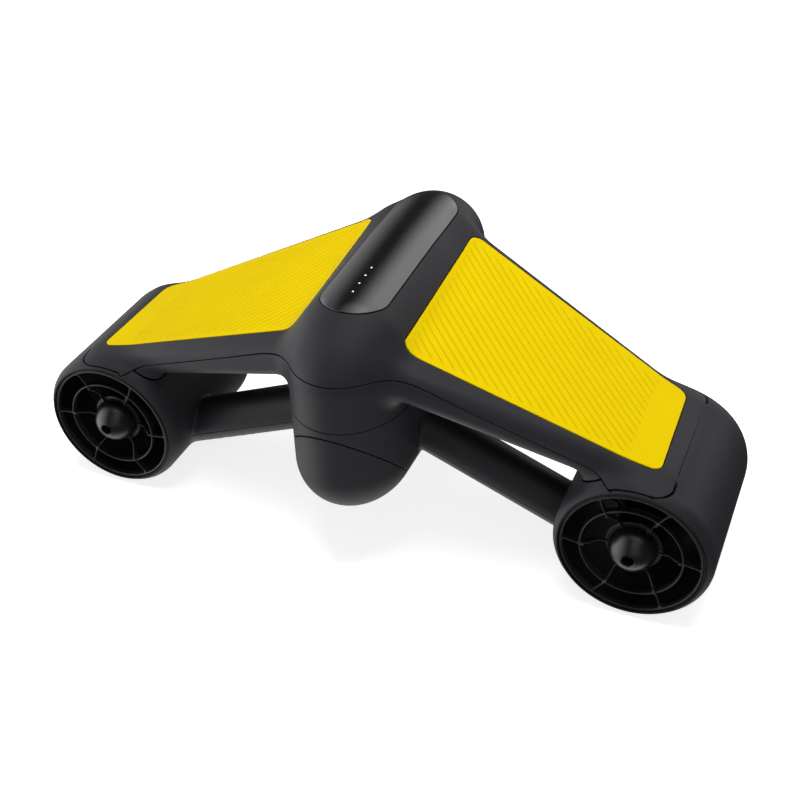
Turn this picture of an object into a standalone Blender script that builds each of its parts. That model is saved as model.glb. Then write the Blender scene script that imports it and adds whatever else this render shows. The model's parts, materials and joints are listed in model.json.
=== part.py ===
"""Hand-held underwater scooter with two ducted thrusters, as separate working pieces.

Metres, +Z up, +Y is the direction of travel, +X is the starboard wing ("right").
Everything is drawn around the thruster datum (the point midway between the rear rims of the
two ducts), and one empty carries the whole model to its natural origin: the middle of the
footprint, at the height of the flats under the ducts.
"""

import math

import bmesh
import bpy
import numpy as np
from mathutils import Matrix, Vector

# ---------------------------------------------------------------- driving dimensions (metres)
GAP = 0.0003                # clearance between neighbouring pieces
WALL = 0.0028               # moulded wall
SIDES = (1, -1)             # starboard, port

THRUSTER_X = 0.200          # thruster axis, from the centre plane
DUCT_R = 0.0545             # duct outside radius
BORE_R = 0.0485             # duct bore radius
DUCT_LEN = 0.132
DUCT_STEPS = 40
FLAT_Z = -0.05405           # moulded resting flat under each duct
LAP_R = 0.0512              # radius where the top shell lies on the duct
LAP_Y0, LAP_Y1 = 0.0032, 0.1286     # rear and front ends of that lap

POD_W = 0.041               # pod half width
POD_TOP = 0.1460            # crown height at the datum, before its rise
POD_RISE = 0.040            # crown rise per metre of length
POD_LOW = -0.0115           # belly
POD_BACK, POD_FRONT = -0.0365, 0.2225       # tail and nose
POD_BACK_C, POD_FRONT_C = 0.015, 0.140      # where the tail and nose rounding start
POD_MID = 0.082             # height of the rearmost and foremost points
POD_CUT = 0.06              # half width of cuts right across the pod

WING_T = 0.0265             # wing thickness
WING_ROOT = 0.04            # span where the seam starts to fall
SEAM_ROOT = 0.1109          # shell seam height at the wing root
SEAM_FALL = 0.4367          # fall of the seam per metre of span
SEAM_RISE = 0.085           # rise of the seam per metre of length
TIP_SEAM = 0.2210           # span where the top shell ends on the duct
PAST_TIPS = 0.3             # span beyond the whole hull

BATT_W, BATT_CHAMFER = 0.0310, 0.0090       # battery half width, corner chamfer
BATT_Z0, BATT_Z1 = 0.0030, 0.0490
BATT_Y0, BATT_Y1 = 0.0060, 0.1385
BATT_MID_Z = (BATT_Z0 + BATT_Z1) / 2

PROP_R = 0.0462
PROP_Y = 0.0320             # middle plane of the blades

# ---------------------------------------------------------------- scene and materials
for old in list(bpy.data.objects):
    bpy.data.objects.remove(old, do_unlink=True)
for old in list(bpy.data.meshes):
    bpy.data.meshes.remove(old)

COLLECTION = bpy.context.scene.collection


def material(name, rgb, rough, metal=0.0):
    mat = bpy.data.materials.new(name)
    mat.use_nodes = True
    inputs = mat.node_tree.nodes["Principled BSDF"].inputs
    inputs["Base Color"].default_value = (*rgb, 1.0)
    inputs["Roughness"].default_value = rough
    inputs["Metallic"].default_value = metal
    mat.diffuse_color = (*rgb, 1.0)
    return mat


HULL = material("hull_plastic", rgb=(0.040, 0.039, 0.046), rough=0.55)
YELLOW = material("panel_yellow", rgb=(0.90, 0.66, 0.004), rough=0.45)
GLOSS = material("gloss_black", rgb=(0.006, 0.006, 0.007), rough=0.08)
GUARD = material("guard_black", rgb=(0.010, 0.010, 0.011), rough=0.35)
PROP = material("prop_plastic", rgb=(0.030, 0.030, 0.033), rough=0.40)
STEEL = material("steel", rgb=(0.55, 0.55, 0.56), rough=0.30, metal=1.0)
COPPER = material("winding", rgb=(0.62, 0.30, 0.12), rough=0.40, metal=1.0)
ALU = material("motor_alu", rgb=(0.50, 0.51, 0.53), rough=0.35, metal=1.0)
BOARD = material("circuit_board", rgb=(0.02, 0.12, 0.05), rough=0.45)
RUBBER = material("seal_rubber", rgb=(0.015, 0.015, 0.015), rough=0.85)
CELL = material("cell_wrap", rgb=(0.03, 0.18, 0.42), rough=0.40)
CABLE = material("cable_jacket", rgb=(0.02, 0.02, 0.02), rough=0.60)


# ---------------------------------------------------------------- solids as bmeshes
def loft(rings, tips=None):
    """Skin rings of equal count and fan each end to a tip, by default the ring's centre."""
    shape = bmesh.new()
    rows = [[shape.verts.new(point) for point in ring] for ring in rings]
    count = len(rows[0])
    for row, following in zip(rows, rows[1:]):
        for i in range(count):
            j = (i + 1) % count
            shape.faces.new((row[i], row[j], following[j], following[i]))
    for end, row in enumerate((rows[0], rows[-1])):
        tip = tips[end] if tips else sum((vert.co for vert in row), Vector()) / count
        tip = shape.verts.new(tip)
        for i in range(count):
            shape.faces.new((row[i], row[(i + 1) % count], tip))
    return shape


def turned(profile, steps, centre=(0.0, 0.0, 0.0)):
    """Turn a closed profile of (radius, y) about a Y axis through centre."""
    shape = bmesh.new()
    verts = [shape.verts.new((radius, y, 0.0)) for radius, y in profile]
    edges = [shape.edges.new((verts[i - 1], verts[i])) for i in range(1, len(verts))]
    edges.append(shape.edges.new((verts[-1], verts[0])))
    bmesh.ops.spin(shape, geom=verts + edges, cent=(0, 0, 0), axis=(0, 1, 0), dvec=(0, 0, 0),
                   angle=2 * math.pi, steps=steps, use_merge=True)
    bmesh.ops.remove_doubles(shape, verts=shape.verts, dist=1e-6)
    bmesh.ops.dissolve_degenerate(shape, edges=shape.edges, dist=1e-7)
    bmesh.ops.translate(shape, verts=shape.verts, vec=centre)
    return shape


def prism(outline, axis, low, high):
    """Extrude an outline along an axis: X takes (y, z), Y takes (x, z), Z takes (x, y)."""
    to_space = {"X": lambda point, t: (t, point[0], point[1]),
                "Y": lambda point, t: (point[0], t, point[1]),
                "Z": lambda point, t: (point[0], point[1], t)}[axis]
    shape = bmesh.new()
    face = shape.faces.new([shape.verts.new(to_space(point, low)) for point in outline])
    geometry = bmesh.ops.extrude_face_region(shape, geom=[face])["geom"]
    moved = [item for item in geometry if isinstance(item, bmesh.types.BMVert)]
    shift = Vector(to_space((0, 0), high)) - Vector(to_space((0, 0), low))
    bmesh.ops.translate(shape, verts=moved, vec=shift)
    return shape


def box(low, high):
    shape = bmesh.new()
    bmesh.ops.create_cube(shape, size=1.0)
    for vert in shape.verts:
        vert.co = Vector([(low[i] + high[i]) / 2 + vert.co[i] * (high[i] - low[i])
                          for i in range(3)])
    return shape


def cylinder(radius, low, high, steps, axis, centre):
    """A prism on a regular polygon; centre is given in the outline's two axes."""
    ring = [(centre[0] + radius * math.cos(2 * math.pi * i / steps),
             centre[1] + radius * math.sin(2 * math.pi * i / steps)) for i in range(steps)]
    return prism(ring, axis, low, high)


def thruster_cylinder(radius, rear, front, steps, side=1):
    return cylinder(radius, rear, front, steps, "Y", (side * THRUSTER_X, 0.0))


def tube_profile(inner, outer, rear, front):
    return [(inner, rear), (outer, rear), (outer, front), (inner, front)]


def moved_by(shape, matrix):
    bmesh.ops.transform(shape, matrix=matrix, verts=shape.verts)
    return shape


# ---------------------------------------------------------------- objects and booleans
def to_object(name, shape, mat=None):
    """A closed bmesh becomes an object with outward normals; without a material, a helper."""
    bmesh.ops.remove_doubles(shape, verts=shape.verts, dist=1e-7)
    bmesh.ops.recalc_face_normals(shape, faces=shape.faces)
    if shape.calc_volume(signed=True) < 0:
        bmesh.ops.reverse_faces(shape, faces=shape.faces)
    mesh = bpy.data.meshes.new(name)
    shape.to_mesh(mesh)
    shape.free()
    part = bpy.data.objects.new(name, mesh)
    COLLECTION.objects.link(part)
    if mat:
        mesh.materials.append(mat)
    else:
        part.hide_render = True
    return part


def cut(part, tool, how="DIFFERENCE", keep=False):
    """Boolean on part with a tool object or bmesh, then tidy the slivers it leaves."""
    if isinstance(tool, bmesh.types.BMesh):
        tool = to_object("cutter", tool)
    modifier = part.modifiers.new("cut", "BOOLEAN")
    modifier.operation = how
    modifier.solver = "EXACT"
    modifier.object = tool
    graph = bpy.context.evaluated_depsgraph_get()
    mesh = bpy.data.meshes.new_from_object(part.evaluated_get(graph))
    part.modifiers.clear()
    part.data = mesh
    if not keep:
        bpy.data.objects.remove(tool, do_unlink=True)
    shape = bmesh.new()
    shape.from_mesh(mesh)
    bmesh.ops.remove_doubles(shape, verts=shape.verts, dist=2e-6)
    bmesh.ops.dissolve_degenerate(shape, edges=shape.edges, dist=2e-6)
    shape.to_mesh(mesh)
    shape.free()
    return part


def join(part, tool):
    return cut(part, tool, "UNION")


def trim_to(part, tool):
    return cut(part, tool, "INTERSECT")


def simplify(part):
    """Join faces that lie in one plane, then cut them into triangles again."""
    shape = bmesh.new()
    shape.from_mesh(part.data)
    bmesh.ops.dissolve_limit(shape, angle_limit=math.radians(0.8),
                             verts=shape.verts, edges=shape.edges)
    bmesh.ops.triangulate(shape, faces=shape.faces)
    shape.to_mesh(part.data)
    shape.free()


def port_twin(part):
    """Copy a *_right object as *_left, reflected in the centre plane."""
    twin = part.copy()
    twin.data = part.data.copy()
    twin.name = twin.data.name = part.name.replace("_right", "_left")
    COLLECTION.objects.link(twin)
    shape = bmesh.new()
    shape.from_mesh(twin.data)
    bmesh.ops.scale(shape, vec=(-1, 1, 1), verts=shape.verts)
    bmesh.ops.reverse_faces(shape, faces=shape.faces)
    shape.to_mesh(twin.data)
    shape.free()
    return twin


# ---------------------------------------------------------------- pod form
POD_COUNT = 28              # points round the pod
ROUND_STATIONS = 7          # sections in the tail rounding and in the nose rounding
POD_STRAIGHT_Y = 0.080      # the one section between the roundings
TAIL_POWER, NOSE_POWER = 2.0, 2.2
CROWN_Y = (-0.02, 0.15)     # the crown rises between these lengths
CHIN_Y, CHIN_LEN, CHIN_RISE = 0.148, 0.075, 0.010   # the belly lifts towards the nose


def pod_section(y, inset):
    """Half width, top and bottom of the pod at length y, drawn inward by inset."""
    scale = 1.0
    if y < POD_BACK_C:
        t = (POD_BACK_C - y) / (POD_BACK_C - POD_BACK - inset)
        scale = max(0.0, 1 - t ** TAIL_POWER) ** (1 / TAIL_POWER)
    elif y > POD_FRONT_C:
        t = (y - POD_FRONT_C) / (POD_FRONT - inset - POD_FRONT_C)
        scale = max(0.0, 1 - t ** NOSE_POWER) ** (1 / NOSE_POWER)
    width = (POD_W - inset) * scale
    lift = min(max((y - CHIN_Y) / CHIN_LEN, 0.0), 1.0)
    upper = POD_TOP - POD_W + POD_RISE * min(max(y, CROWN_Y[0]), CROWN_Y[1])
    lower = POD_LOW + POD_W + CHIN_RISE * lift * lift * (3 - 2 * lift)
    return width, upper + width, lower - width


def pod_loft(inset):
    """The pod: an upright obround that closes to a rounded tail and nose."""
    back, front = POD_BACK + inset, POD_FRONT - inset
    last = ROUND_STATIONS - 1
    tail = [POD_BACK_C - (POD_BACK_C - back) * math.cos(math.radians(10 + 80 * k / last))
            for k in range(ROUND_STATIONS)]
    nose = [POD_FRONT_C + (front - POD_FRONT_C) * math.sin(math.radians(80 * k / last))
            for k in range(ROUND_STATIONS)]
    half = POD_COUNT // 2
    rings = []
    for y in tail + [POD_STRAIGHT_Y] + nose:
        width, top, low = pod_section(y, inset)
        width = min(width, (top - low) / 2)
        ring = []
        for start, centre in ((0.0, top - width), (math.pi, low + width)):
            for i in range(half):
                angle = start + math.pi * (i + 0.5) / half
                ring.append((width * math.cos(angle), y, centre + width * math.sin(angle)))
        rings.append(ring)
    return loft(rings, tips=((0, back, POD_MID), (0, front, POD_MID)))


# ---------------------------------------------------------------- wing form
# All wing tables: (distance from the centre plane, value there).
# Deck height at length DECK_Y
DECK = ((0.0, 0.1462), (0.012, 0.1450), (0.0234, 0.1400), (0.0388, 0.1291),
        (0.055, 0.1203), (0.075, 0.1102), (0.10, 0.0975), (0.13, 0.0857), (0.16, 0.0743),
        (0.190, 0.0628), (0.203, 0.0576), (0.214, 0.0534))
DECK_Y = 0.05
# Deck rise per metre of length
DECK_TILT = ((0.0, 0.045), (0.0388, 0.064), (0.10, 0.093), (0.16, 0.049), (0.203, 0.0),
             (0.3, 0.0))
# Length of the trailing and leading edges
REAR_EDGE = ((0.0, -0.0110), (0.04, -0.0100), (0.10, 0.0004), (0.16, 0.0108),
             (0.175, 0.0100), (0.19, 0.0045), (0.203, 0.0034), (0.3, 0.0034))
FRONT_EDGE = ((0.0, 0.171), (0.04, 0.1700), (0.10, 0.155), (0.175, 0.1400),
              (0.203, 0.1288), (0.3, 0.1288))
# Chordwise depth of the upper rear rounding
REAR_ROUND = ((0.0, 0.034), (0.04, 0.032), (0.07, 0.022), (0.10, 0.0170), (0.16, 0.0120),
              (0.19, 0.006), (0.3, 0.004))
FRONT_ROUND = 0.014             # depth of the upper front rounding
REAR_UNDER, FRONT_UNDER = 0.010, 0.012      # depths of the roundings underneath
QUARTER = [math.radians(90 * k / 4) for k in range(4)]


def along(table, x):
    spans, values = zip(*table)
    return float(np.interp(abs(x), spans, values))


def wing_top(x, y):
    return along(DECK, x) + along(DECK_TILT, x) * (y - DECK_Y)


def wing_low(x, y):
    return wing_top(x, y) - WING_T


def wing_ring(x, inset):
    """One chordwise section of the wing at span x."""
    rear, front = along(REAR_EDGE, x) + inset, along(FRONT_EDGE, x) - inset
    rear_round = along(REAR_ROUND, x)

    def top(y):
        return wing_top(x, y) - inset

    def low(y):
        return wing_low(x, y) + inset

    # heights of the trailing and leading edges
    rear_z = top(rear + rear_round) * 0.52 + low(rear) * 0.48
    front_z = top(front - FRONT_ROUND) * 0.45 + low(front) * 0.55
    ring = []
    for angle in QUARTER:
        ring.append((x, rear + rear_round * (1 - math.sin(angle)),
                     rear_z + (top(rear + rear_round) - rear_z) * math.cos(angle)))
    ring.append((x, rear, rear_z))
    for angle in QUARTER[1:]:
        ring.append((x, rear + REAR_UNDER * (1 - math.cos(angle)),
                     rear_z + (low(rear + REAR_UNDER) - rear_z) * math.sin(angle)))
    for k in range(3):
        y = rear + REAR_UNDER + (front - FRONT_UNDER - rear - REAR_UNDER) * k / 2
        ring.append((x, y, low(y)))
    for angle in QUARTER[1:]:
        ring.append((x, front - FRONT_UNDER * (1 - math.sin(angle)),
                     front_z + (low(front - FRONT_UNDER) - front_z) * math.cos(angle)))
    ring.append((x, front, front_z))
    for angle in QUARTER[1:]:
        ring.append((x, front - FRONT_ROUND * (1 - math.cos(angle)),
                     front_z + (top(front - FRONT_ROUND) - front_z) * math.sin(angle)))
    for k in range(3):
        y = front - FRONT_ROUND + (rear + rear_round - front + FRONT_ROUND) * k / 3
        ring.append((x, y, top(y)))
    return ring


def wing_loft(inset):
    spans = [x for x, _ in DECK]
    spans = [-x for x in reversed(spans[1:])] + spans
    return loft([wing_ring(x, inset) for x in spans])


def hull_form(name, inset, mat=None):
    """Pod and wing as one solid, drawn inward by inset."""
    return join(to_object(name, pod_loft(inset), mat), wing_loft(inset))


def seam_solid(above, shift, reach):
    """Everything above (or below) the shell seam moved up by shift, out to span reach."""
    far = 0.3 if above else -0.3
    shape = bmesh.new()
    grid = {}
    for j, y in enumerate((-0.12, 0.32)):
        for i, x in enumerate((-reach, -WING_ROOT, WING_ROOT, reach)):
            seam = SEAM_ROOT - SEAM_FALL * max(0.0, abs(x) - WING_ROOT) + SEAM_RISE * y
            grid[i, j, 0] = shape.verts.new((x, y, seam + shift))
            grid[i, j, 1] = shape.verts.new((x, y, far))
    for i in range(3):
        for k in (0, 1):
            shape.faces.new((grid[i, 0, k], grid[i + 1, 0, k],
                             grid[i + 1, 1, k], grid[i, 1, k]))
        for j in (0, 1):
            shape.faces.new((grid[i, j, 0], grid[i + 1, j, 0],
                             grid[i + 1, j, 1], grid[i, j, 1]))
    for i in (0, 3):
        shape.faces.new((grid[i, 0, 0], grid[i, 1, 0], grid[i, 1, 1], grid[i, 0, 1]))
    return shape


# ---------------------------------------------------------------- status window, deck panels
STRIP_W = 0.0235                # status window half width
STRIP_Y0, STRIP_Y1 = 0.002, 0.171
STRIP_T = 0.0014
STRIP_Z = (0.10, 0.20)          # height range the window is cut from
STRIP_SEAM = 0.004              # how far above the seam the window is kept
PANEL_T = 0.0016
PANEL_Z = (0.035, 0.18)
PANEL_SEAM, RECESS_SEAM = 0.0012, 0.0008
# Starboard deck panel corners, counterclockwise from above: (x, y, corner radius)
PANEL = ((0.0385, 0.0140, 0.018), (0.2105, 0.0215, 0.006),
         (0.2085, 0.1140, 0.010), (0.0392, 0.1468, 0.008))
SLOT = ((-0.003, 0.018, 0.12), (0.003, 0.056, 0.16))     # crown slot above the LEDs


def strip_outline(grow=0.0):
    """A lengthwise stadium, pushed outward by grow."""
    half = STRIP_W + grow
    points = []
    for start, centre in ((0.0, STRIP_Y1 + grow - half), (math.pi, STRIP_Y0 - grow + half)):
        for k in range(9):
            angle = start + math.pi * k / 8
            points.append((half * math.cos(angle), centre + half * math.sin(angle)))
    return points


def panel_outline(grow=0.0):
    """The panel corners, each rounded, pushed outward by grow."""
    corners = [Vector(corner[:2]) for corner in PANEL]
    edges = []                  # (point on the grown edge, direction)
    for i, corner in enumerate(corners):
        heading = (corners[(i + 1) % len(corners)] - corner).normalized()
        outward = Vector((heading.y, -heading.x))
        edges.append((corner + outward * grow, heading))
    points = []
    for i in range(len(corners)):
        (before, arrive), (after, leave) = edges[i - 1], edges[i]
        cross = arrive.x * leave.y - arrive.y * leave.x
        t = ((after.x - before.x) * leave.y - (after.y - before.y) * leave.x) / cross
        corner = before + arrive * t
        radius = PANEL[i][2] + grow
        half = math.acos(-arrive.dot(leave)) / 2
        setback = radius / math.tan(half)
        first, last = corner - arrive * setback, corner + leave * setback
        inward = ((first - corner) + (last - corner)).normalized()
        centre = corner + inward * (radius / math.sin(half))
        start = math.atan2(first.y - centre.y, first.x - centre.x)
        end = math.atan2(last.y - centre.y, last.x - centre.x)
        turn = (end - start + math.pi) % (2 * math.pi) - math.pi
        for k in range(6):
            angle = start + turn * k / 5
            points.append((centre.x + radius * math.cos(angle),
                           centre.y + radius * math.sin(angle)))
    return points


def skin_piece(name, outline, z_range, depth, seam_shift, mat=None):
    """The hull skin inside an outline, depth thick, above the seam.

    Without a material it is a recess cutter, and runs on out of the hull.
    """
    part = to_object(name, prism(outline, "Z", *z_range), mat)
    if mat:
        trim_to(part, hull_form("skin", 0.0))
    cut(part, hull_form("core", depth))
    return trim_to(part, seam_solid(True, seam_shift, PAST_TIPS))


def status_window():
    return skin_piece("status_window", strip_outline(), STRIP_Z, STRIP_T, STRIP_SEAM, GLOSS)


def deck_panel():
    return skin_piece("deck_panel_right", panel_outline(), PANEL_Z, PANEL_T, PANEL_SEAM,
                      YELLOW)


# ---------------------------------------------------------------- handle frame
GRIP_POINT = (0.100, 0.046, 0.0077)     # a point on the starboard handle axis
GRIP_FALL = math.atan(0.41)             # dihedral of the handle
GRIP_COS, GRIP_SIN = math.cos(GRIP_FALL), math.sin(GRIP_FALL)
GRIP_FRAME = Matrix(((GRIP_COS, 0.0, GRIP_SIN, GRIP_POINT[0]),
                     (0.0, 1.0, 0.0, GRIP_POINT[1]),
                     (-GRIP_SIN, 0.0, GRIP_COS, GRIP_POINT[2]),
                     (0, 0, 0, 1)))
TRIG_DIR = math.radians(-75.0)          # the trigger faces this far below dead ahead
PRESS = Vector((0.0, math.cos(TRIG_DIR), math.sin(TRIG_DIR)))   # outward, in the handle
CROSS = Vector((0.0, -math.sin(TRIG_DIR), math.cos(TRIG_DIR)))  # along the trigger pin
CABLE_Z = 0.0100                        # cable axis above the handle axis


def in_handle(shape):
    return moved_by(shape, GRIP_FRAME)


def facing(shape):
    """Place a shape drawn as (x along handle, y across, z outward through the trigger)."""
    turn = Matrix(((1, 0, 0, 0), (0, CROSS.y, PRESS.y, 0), (0, CROSS.z, PRESS.z, 0),
                   (0, 0, 0, 1)))
    return in_handle(moved_by(shape, turn))


# ---------------------------------------------------------------- top shell and lower hull
SCREWS = (("rear", 0.078, 0.034), ("front", 0.070, 0.126))      # place, x, y
SCREW_STEPS = 10
BOSS_R, BOSS_INSET = 0.0038, 0.0024     # boss radius, and how deep it enters the skin
PILOT_R, HEAD_R = 0.0019, 0.0033        # screw holes


def clear_ducts(part, radius):
    for side in SIDES:
        cut(part, thruster_cylinder(radius, -0.02, 0.16, DUCT_STEPS, side))


def screw_cylinder(radius, low, high, x, y, steps=SCREW_STEPS):
    return cylinder(radius, low, high, steps, "Z", (x, y))


def top_shell(cavity):
    shell = hull_form("top_shell", 0.0, HULL)
    for side in SIDES:
        join(shell, thruster_cylinder(DUCT_R, LAP_Y0, LAP_Y1, DUCT_STEPS, side))
    trim_to(shell, seam_solid(True, 0.0, TIP_SEAM))
    cut(shell, cavity, keep=True)
    clear_ducts(shell, LAP_R)

    cut(shell, skin_piece("strip_recess", strip_outline(GAP), STRIP_Z, STRIP_T + GAP,
                          STRIP_SEAM))
    recess = skin_piece("recess_right", panel_outline(GAP), PANEL_Z, PANEL_T + GAP,
                        RECESS_SEAM)
    recess_left = port_twin(recess)
    cut(shell, recess)
    cut(shell, recess_left)
    cut(shell, box(*SLOT))

    for side in SIDES:
        for _, x, y in SCREWS:
            low = wing_low(x, y) + WALL + 0.0026
            high = wing_low(x, y) + WING_T - WALL + 0.0004
            boss = to_object("boss", screw_cylinder(BOSS_R, low, high + 0.006, side * x, y))
            trim_to(boss, wing_loft(BOSS_INSET))
            join(shell, boss)
            cut(shell, screw_cylinder(PILOT_R, low - 0.002, high - 0.0030, side * x, y))
    return shell


HATCH_Z = 0.0735                # upper seam of the hatch frame
HATCH_Y = 0.0240                # front end of the hatch frame
CAP_Z, CAP_Y, CAP_SLOPE = 0.0670, -0.0355, 1.08     # plane of the battery cap seam
OPENING_GAP, FRAME_GAP = 0.0006, 0.0005             # hull and frame clearances to that plane


def cap_z(y):
    return CAP_Z - CAP_SLOPE * (y - CAP_Y)


def lower_hull(cavity):
    hull = hull_form("lower_hull", 0.0, HULL)
    trim_to(hull, seam_solid(False, -GAP, PAST_TIPS))
    cut(hull, cavity, keep=True)
    clear_ducts(hull, DUCT_R + GAP)
    front = HATCH_Y + GAP
    opening = [(-0.12, HATCH_Z + GAP), (front, HATCH_Z + GAP),
               (front, cap_z(HATCH_Y) + OPENING_GAP), (0.06, cap_z(0.06) + OPENING_GAP),
               (0.06, -0.1), (-0.12, -0.1)]
    cut(hull, prism(opening, "X", -POD_CUT, POD_CUT))
    for _, x, y in SCREWS:
        low = wing_low(x, y)
        for side in SIDES:
            cut(hull, screw_cylinder(HEAD_R, low - 0.004, low + 0.0014, side * x, y))
            cut(hull, screw_cylinder(PILOT_R, low - 0.004, low + 0.006, side * x, y))
    hole = to_object("cable_hole_right", in_handle(
        cylinder(0.0034, -0.0800, -0.0500, 12, "X", (0.0, CABLE_Z))))
    hole_left = port_twin(hole)
    cut(hull, hole)
    cut(hull, hole_left)
    return hull


def pod_shell_piece(name, side_outline, pod_cavity):
    """The pod wall inside an outline of (y, z)."""
    part = to_object(name, pod_loft(0.0), HULL)
    cut(part, pod_cavity, keep=True)
    return trim_to(part, prism(side_outline, "X", -POD_CUT, POD_CUT))


def hatch_frame(pod_cavity):
    rear = CAP_Y - (HATCH_Z - CAP_Z) / CAP_SLOPE + FRAME_GAP
    outline = [(rear, HATCH_Z), (HATCH_Y, HATCH_Z), (HATCH_Y, cap_z(HATCH_Y) + FRAME_GAP)]
    return pod_shell_piece("hatch_frame", outline, pod_cavity)


def tail_cap(pod_cavity):
    outline = [(-0.09, cap_z(-0.09)), (0.055, cap_z(0.055)), (0.055, -0.1), (-0.09, -0.1)]
    return pod_shell_piece("tail_cap", outline, pod_cavity)


# Screw, from the head: (radius, height)
SCREW_PROFILE = ((0.0, 0.0), (0.0029, 0.0), (0.0029, 0.0012), (0.0015, 0.0016),
                 (0.0015, 0.0150), (0.0, 0.0157))


def hull_screw(name, x, y):
    """A screw put in from under the wing, with a hexagon socket."""
    low = wing_low(x, y)
    upright = Matrix.Translation((x, y, low - 0.0006)) @ Matrix.Rotation(math.pi / 2, 4, "X")
    part = to_object(name, moved_by(turned(SCREW_PROFILE, SCREW_STEPS), upright), STEEL)
    return cut(part, screw_cylinder(0.0012, low - 0.002, low + 0.0003, x, y, steps=6))


# ---------------------------------------------------------------- battery module
CASE_WALL, CASE_END = 0.0016, 0.0018
CELL_R, CELL_PITCH, CELL_ROW = 0.0092, 0.0178, 0.0088   # CELL_ROW: row offset from the middle
CELL_Y = (BATT_Y0 + 0.0015, BATT_Y1 - 0.0023)
SEAL_Y = (0.0340, 0.0362)
SLEEVE_Y = (0.050, 0.1402)
SLEEVE_OUT, SLEEVE_IN = 0.0016, 0.0004                  # sleeve faces, from the case
CONNECTOR = ((-0.016, 0.1408, 0.014), (0.016, 0.1470, 0.038))


def battery_block(rear, front, grow=0.0, top_grow=None, chamfer=BATT_CHAMFER):
    """A chamfered block on the case outline, pushed outward by grow."""
    half = BATT_W + grow
    low = BATT_Z0 - grow
    high = BATT_Z1 + (grow if top_grow is None else top_grow)
    outline = [(half, low + chamfer), (half, high - chamfer),
               (half - chamfer, high), (-half + chamfer, high),
               (-half, high - chamfer), (-half, low + chamfer),
               (-half + chamfer, low), (half - chamfer, low)]
    return prism(outline, "Y", rear, front)


def battery_case():
    """A box open to the rear, with its end wall in front."""
    case = to_object("battery_case", battery_block(BATT_Y0, BATT_Y1), GUARD)
    cut(case, battery_block(BATT_Y0 - 0.01, BATT_Y1 - CASE_END, -CASE_WALL))


def cell_pack():
    cells = [cylinder(CELL_R, *CELL_Y, 12, "Y",
                      (column * CELL_PITCH, BATT_MID_Z + row * CELL_ROW))
             for row in (-1, 1) for column in (-1, 0, 1)]
    pack = to_object("cell_pack", cells[0], CELL)
    for cell in cells[1:]:
        join(pack, cell)


def battery_seal():
    seal = battery_block(*SEAL_Y, 0.0015, top_grow=0.0010, chamfer=BATT_CHAMFER + 0.0012)
    cut(to_object("battery_seal", seal, RUBBER), battery_block(0.03, 0.04, GAP))


def battery_sleeve():
    sleeve = to_object("battery_sleeve", battery_block(*SLEEVE_Y, SLEEVE_OUT), GUARD)
    cut(sleeve, battery_block(0.04, 0.15, SLEEVE_IN))


def battery_connector():
    to_object("battery_connector", box(*CONNECTOR), GUARD)


# ---------------------------------------------------------------- electronics
BOARD_TOP = 0.0616
CONTROL_BOARD = ((-0.026, 0.034, 0.0600), (0.026, 0.128, BOARD_TOP))
# Blocks on the control board: (x0, y0, x1, y1, height)
COMPONENTS = ((-0.018, 0.045, 0.000, 0.070, 0.006), (0.006, 0.048, 0.020, 0.064, 0.004),
              (-0.020, 0.084, 0.018, 0.104, 0.009), (-0.010, 0.112, 0.012, 0.122, 0.005))
LED_BOARD = ((-0.0085, 0.013, 0.1350), (0.0085, 0.061, 0.1362))
LED_R, LED_Y, LED_PITCH, LED_COUNT = 0.0011, 0.0215, 0.0101, 4


def control_board():
    board = to_object("control_board", box(*CONTROL_BOARD), BOARD)
    for x0, y0, x1, y1, height in COMPONENTS:
        join(board, box((x0, y0, 0.0610), (x1, y1, BOARD_TOP + height)))


def led_board():
    board = to_object("led_board", box(*LED_BOARD), BOARD)
    for k in range(LED_COUNT):
        join(board, cylinder(LED_R, 0.1358, 0.1386, 10, "Z", (0.0, LED_Y + LED_PITCH * k)))


# ---------------------------------------------------------------- thruster (starboard)
# Profiles turned about the thruster axis are (radius, y).
THRUSTER = (THRUSTER_X, 0.0, 0.0)
DUCT_PROFILE = (
    (0.0492, 0.0000), (0.0520, 0.0000), (0.0536, 0.0040), (DUCT_R, 0.0180),
    (DUCT_R, 0.1210), (0.0534, 0.1285), (0.0512, DUCT_LEN), (0.0494, 0.1312),
    (BORE_R, 0.1280), (BORE_R, 0.0060))
GUARD_RING = (0.0464, 0.0482)           # inside and outside radius of both guard rings
REAR_HUB = ((0.0060, 0.0040), (0.0090, 0.0040), (0.0090, 0.0098), (0.0215, 0.0098),
            (0.0235, 0.0104), (0.0235, 0.0120), (0.0060, 0.0120))
NOSE_PROFILE = (
    (0.0, 0.1140), (0.0060, 0.1140), (0.0060, 0.1024), (0.0225, 0.1024), (0.0225, 0.1130),
    (0.0200, 0.1210), (0.0120, 0.1272), (0.0, 0.1294))
SHAFT_R = 0.0024
SHAFT_PROFILE = ((0.0, 0.0050), (0.0020, 0.0050), (SHAFT_R, 0.0054), (SHAFT_R, 0.1116),
                 (0.0020, 0.1120), (0.0, 0.1120))
MOTOR_CASE = ((0.0060, 0.0500), (0.0170, 0.0500), (0.0225, 0.0540), (0.0225, 0.1020),
              (0.0209, 0.1020), (0.0209, 0.0560), (0.0060, 0.0560))
BEARING_IN, BEARING_OUT = 0.0027, 0.0055
NUT_R, NUT_Y = 0.0056, (0.0126, 0.0156)
DOME_R, DOME_Y, DOME_DEPTH = 0.0168, 0.0105, 0.0163     # ball of the tail cone


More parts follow.
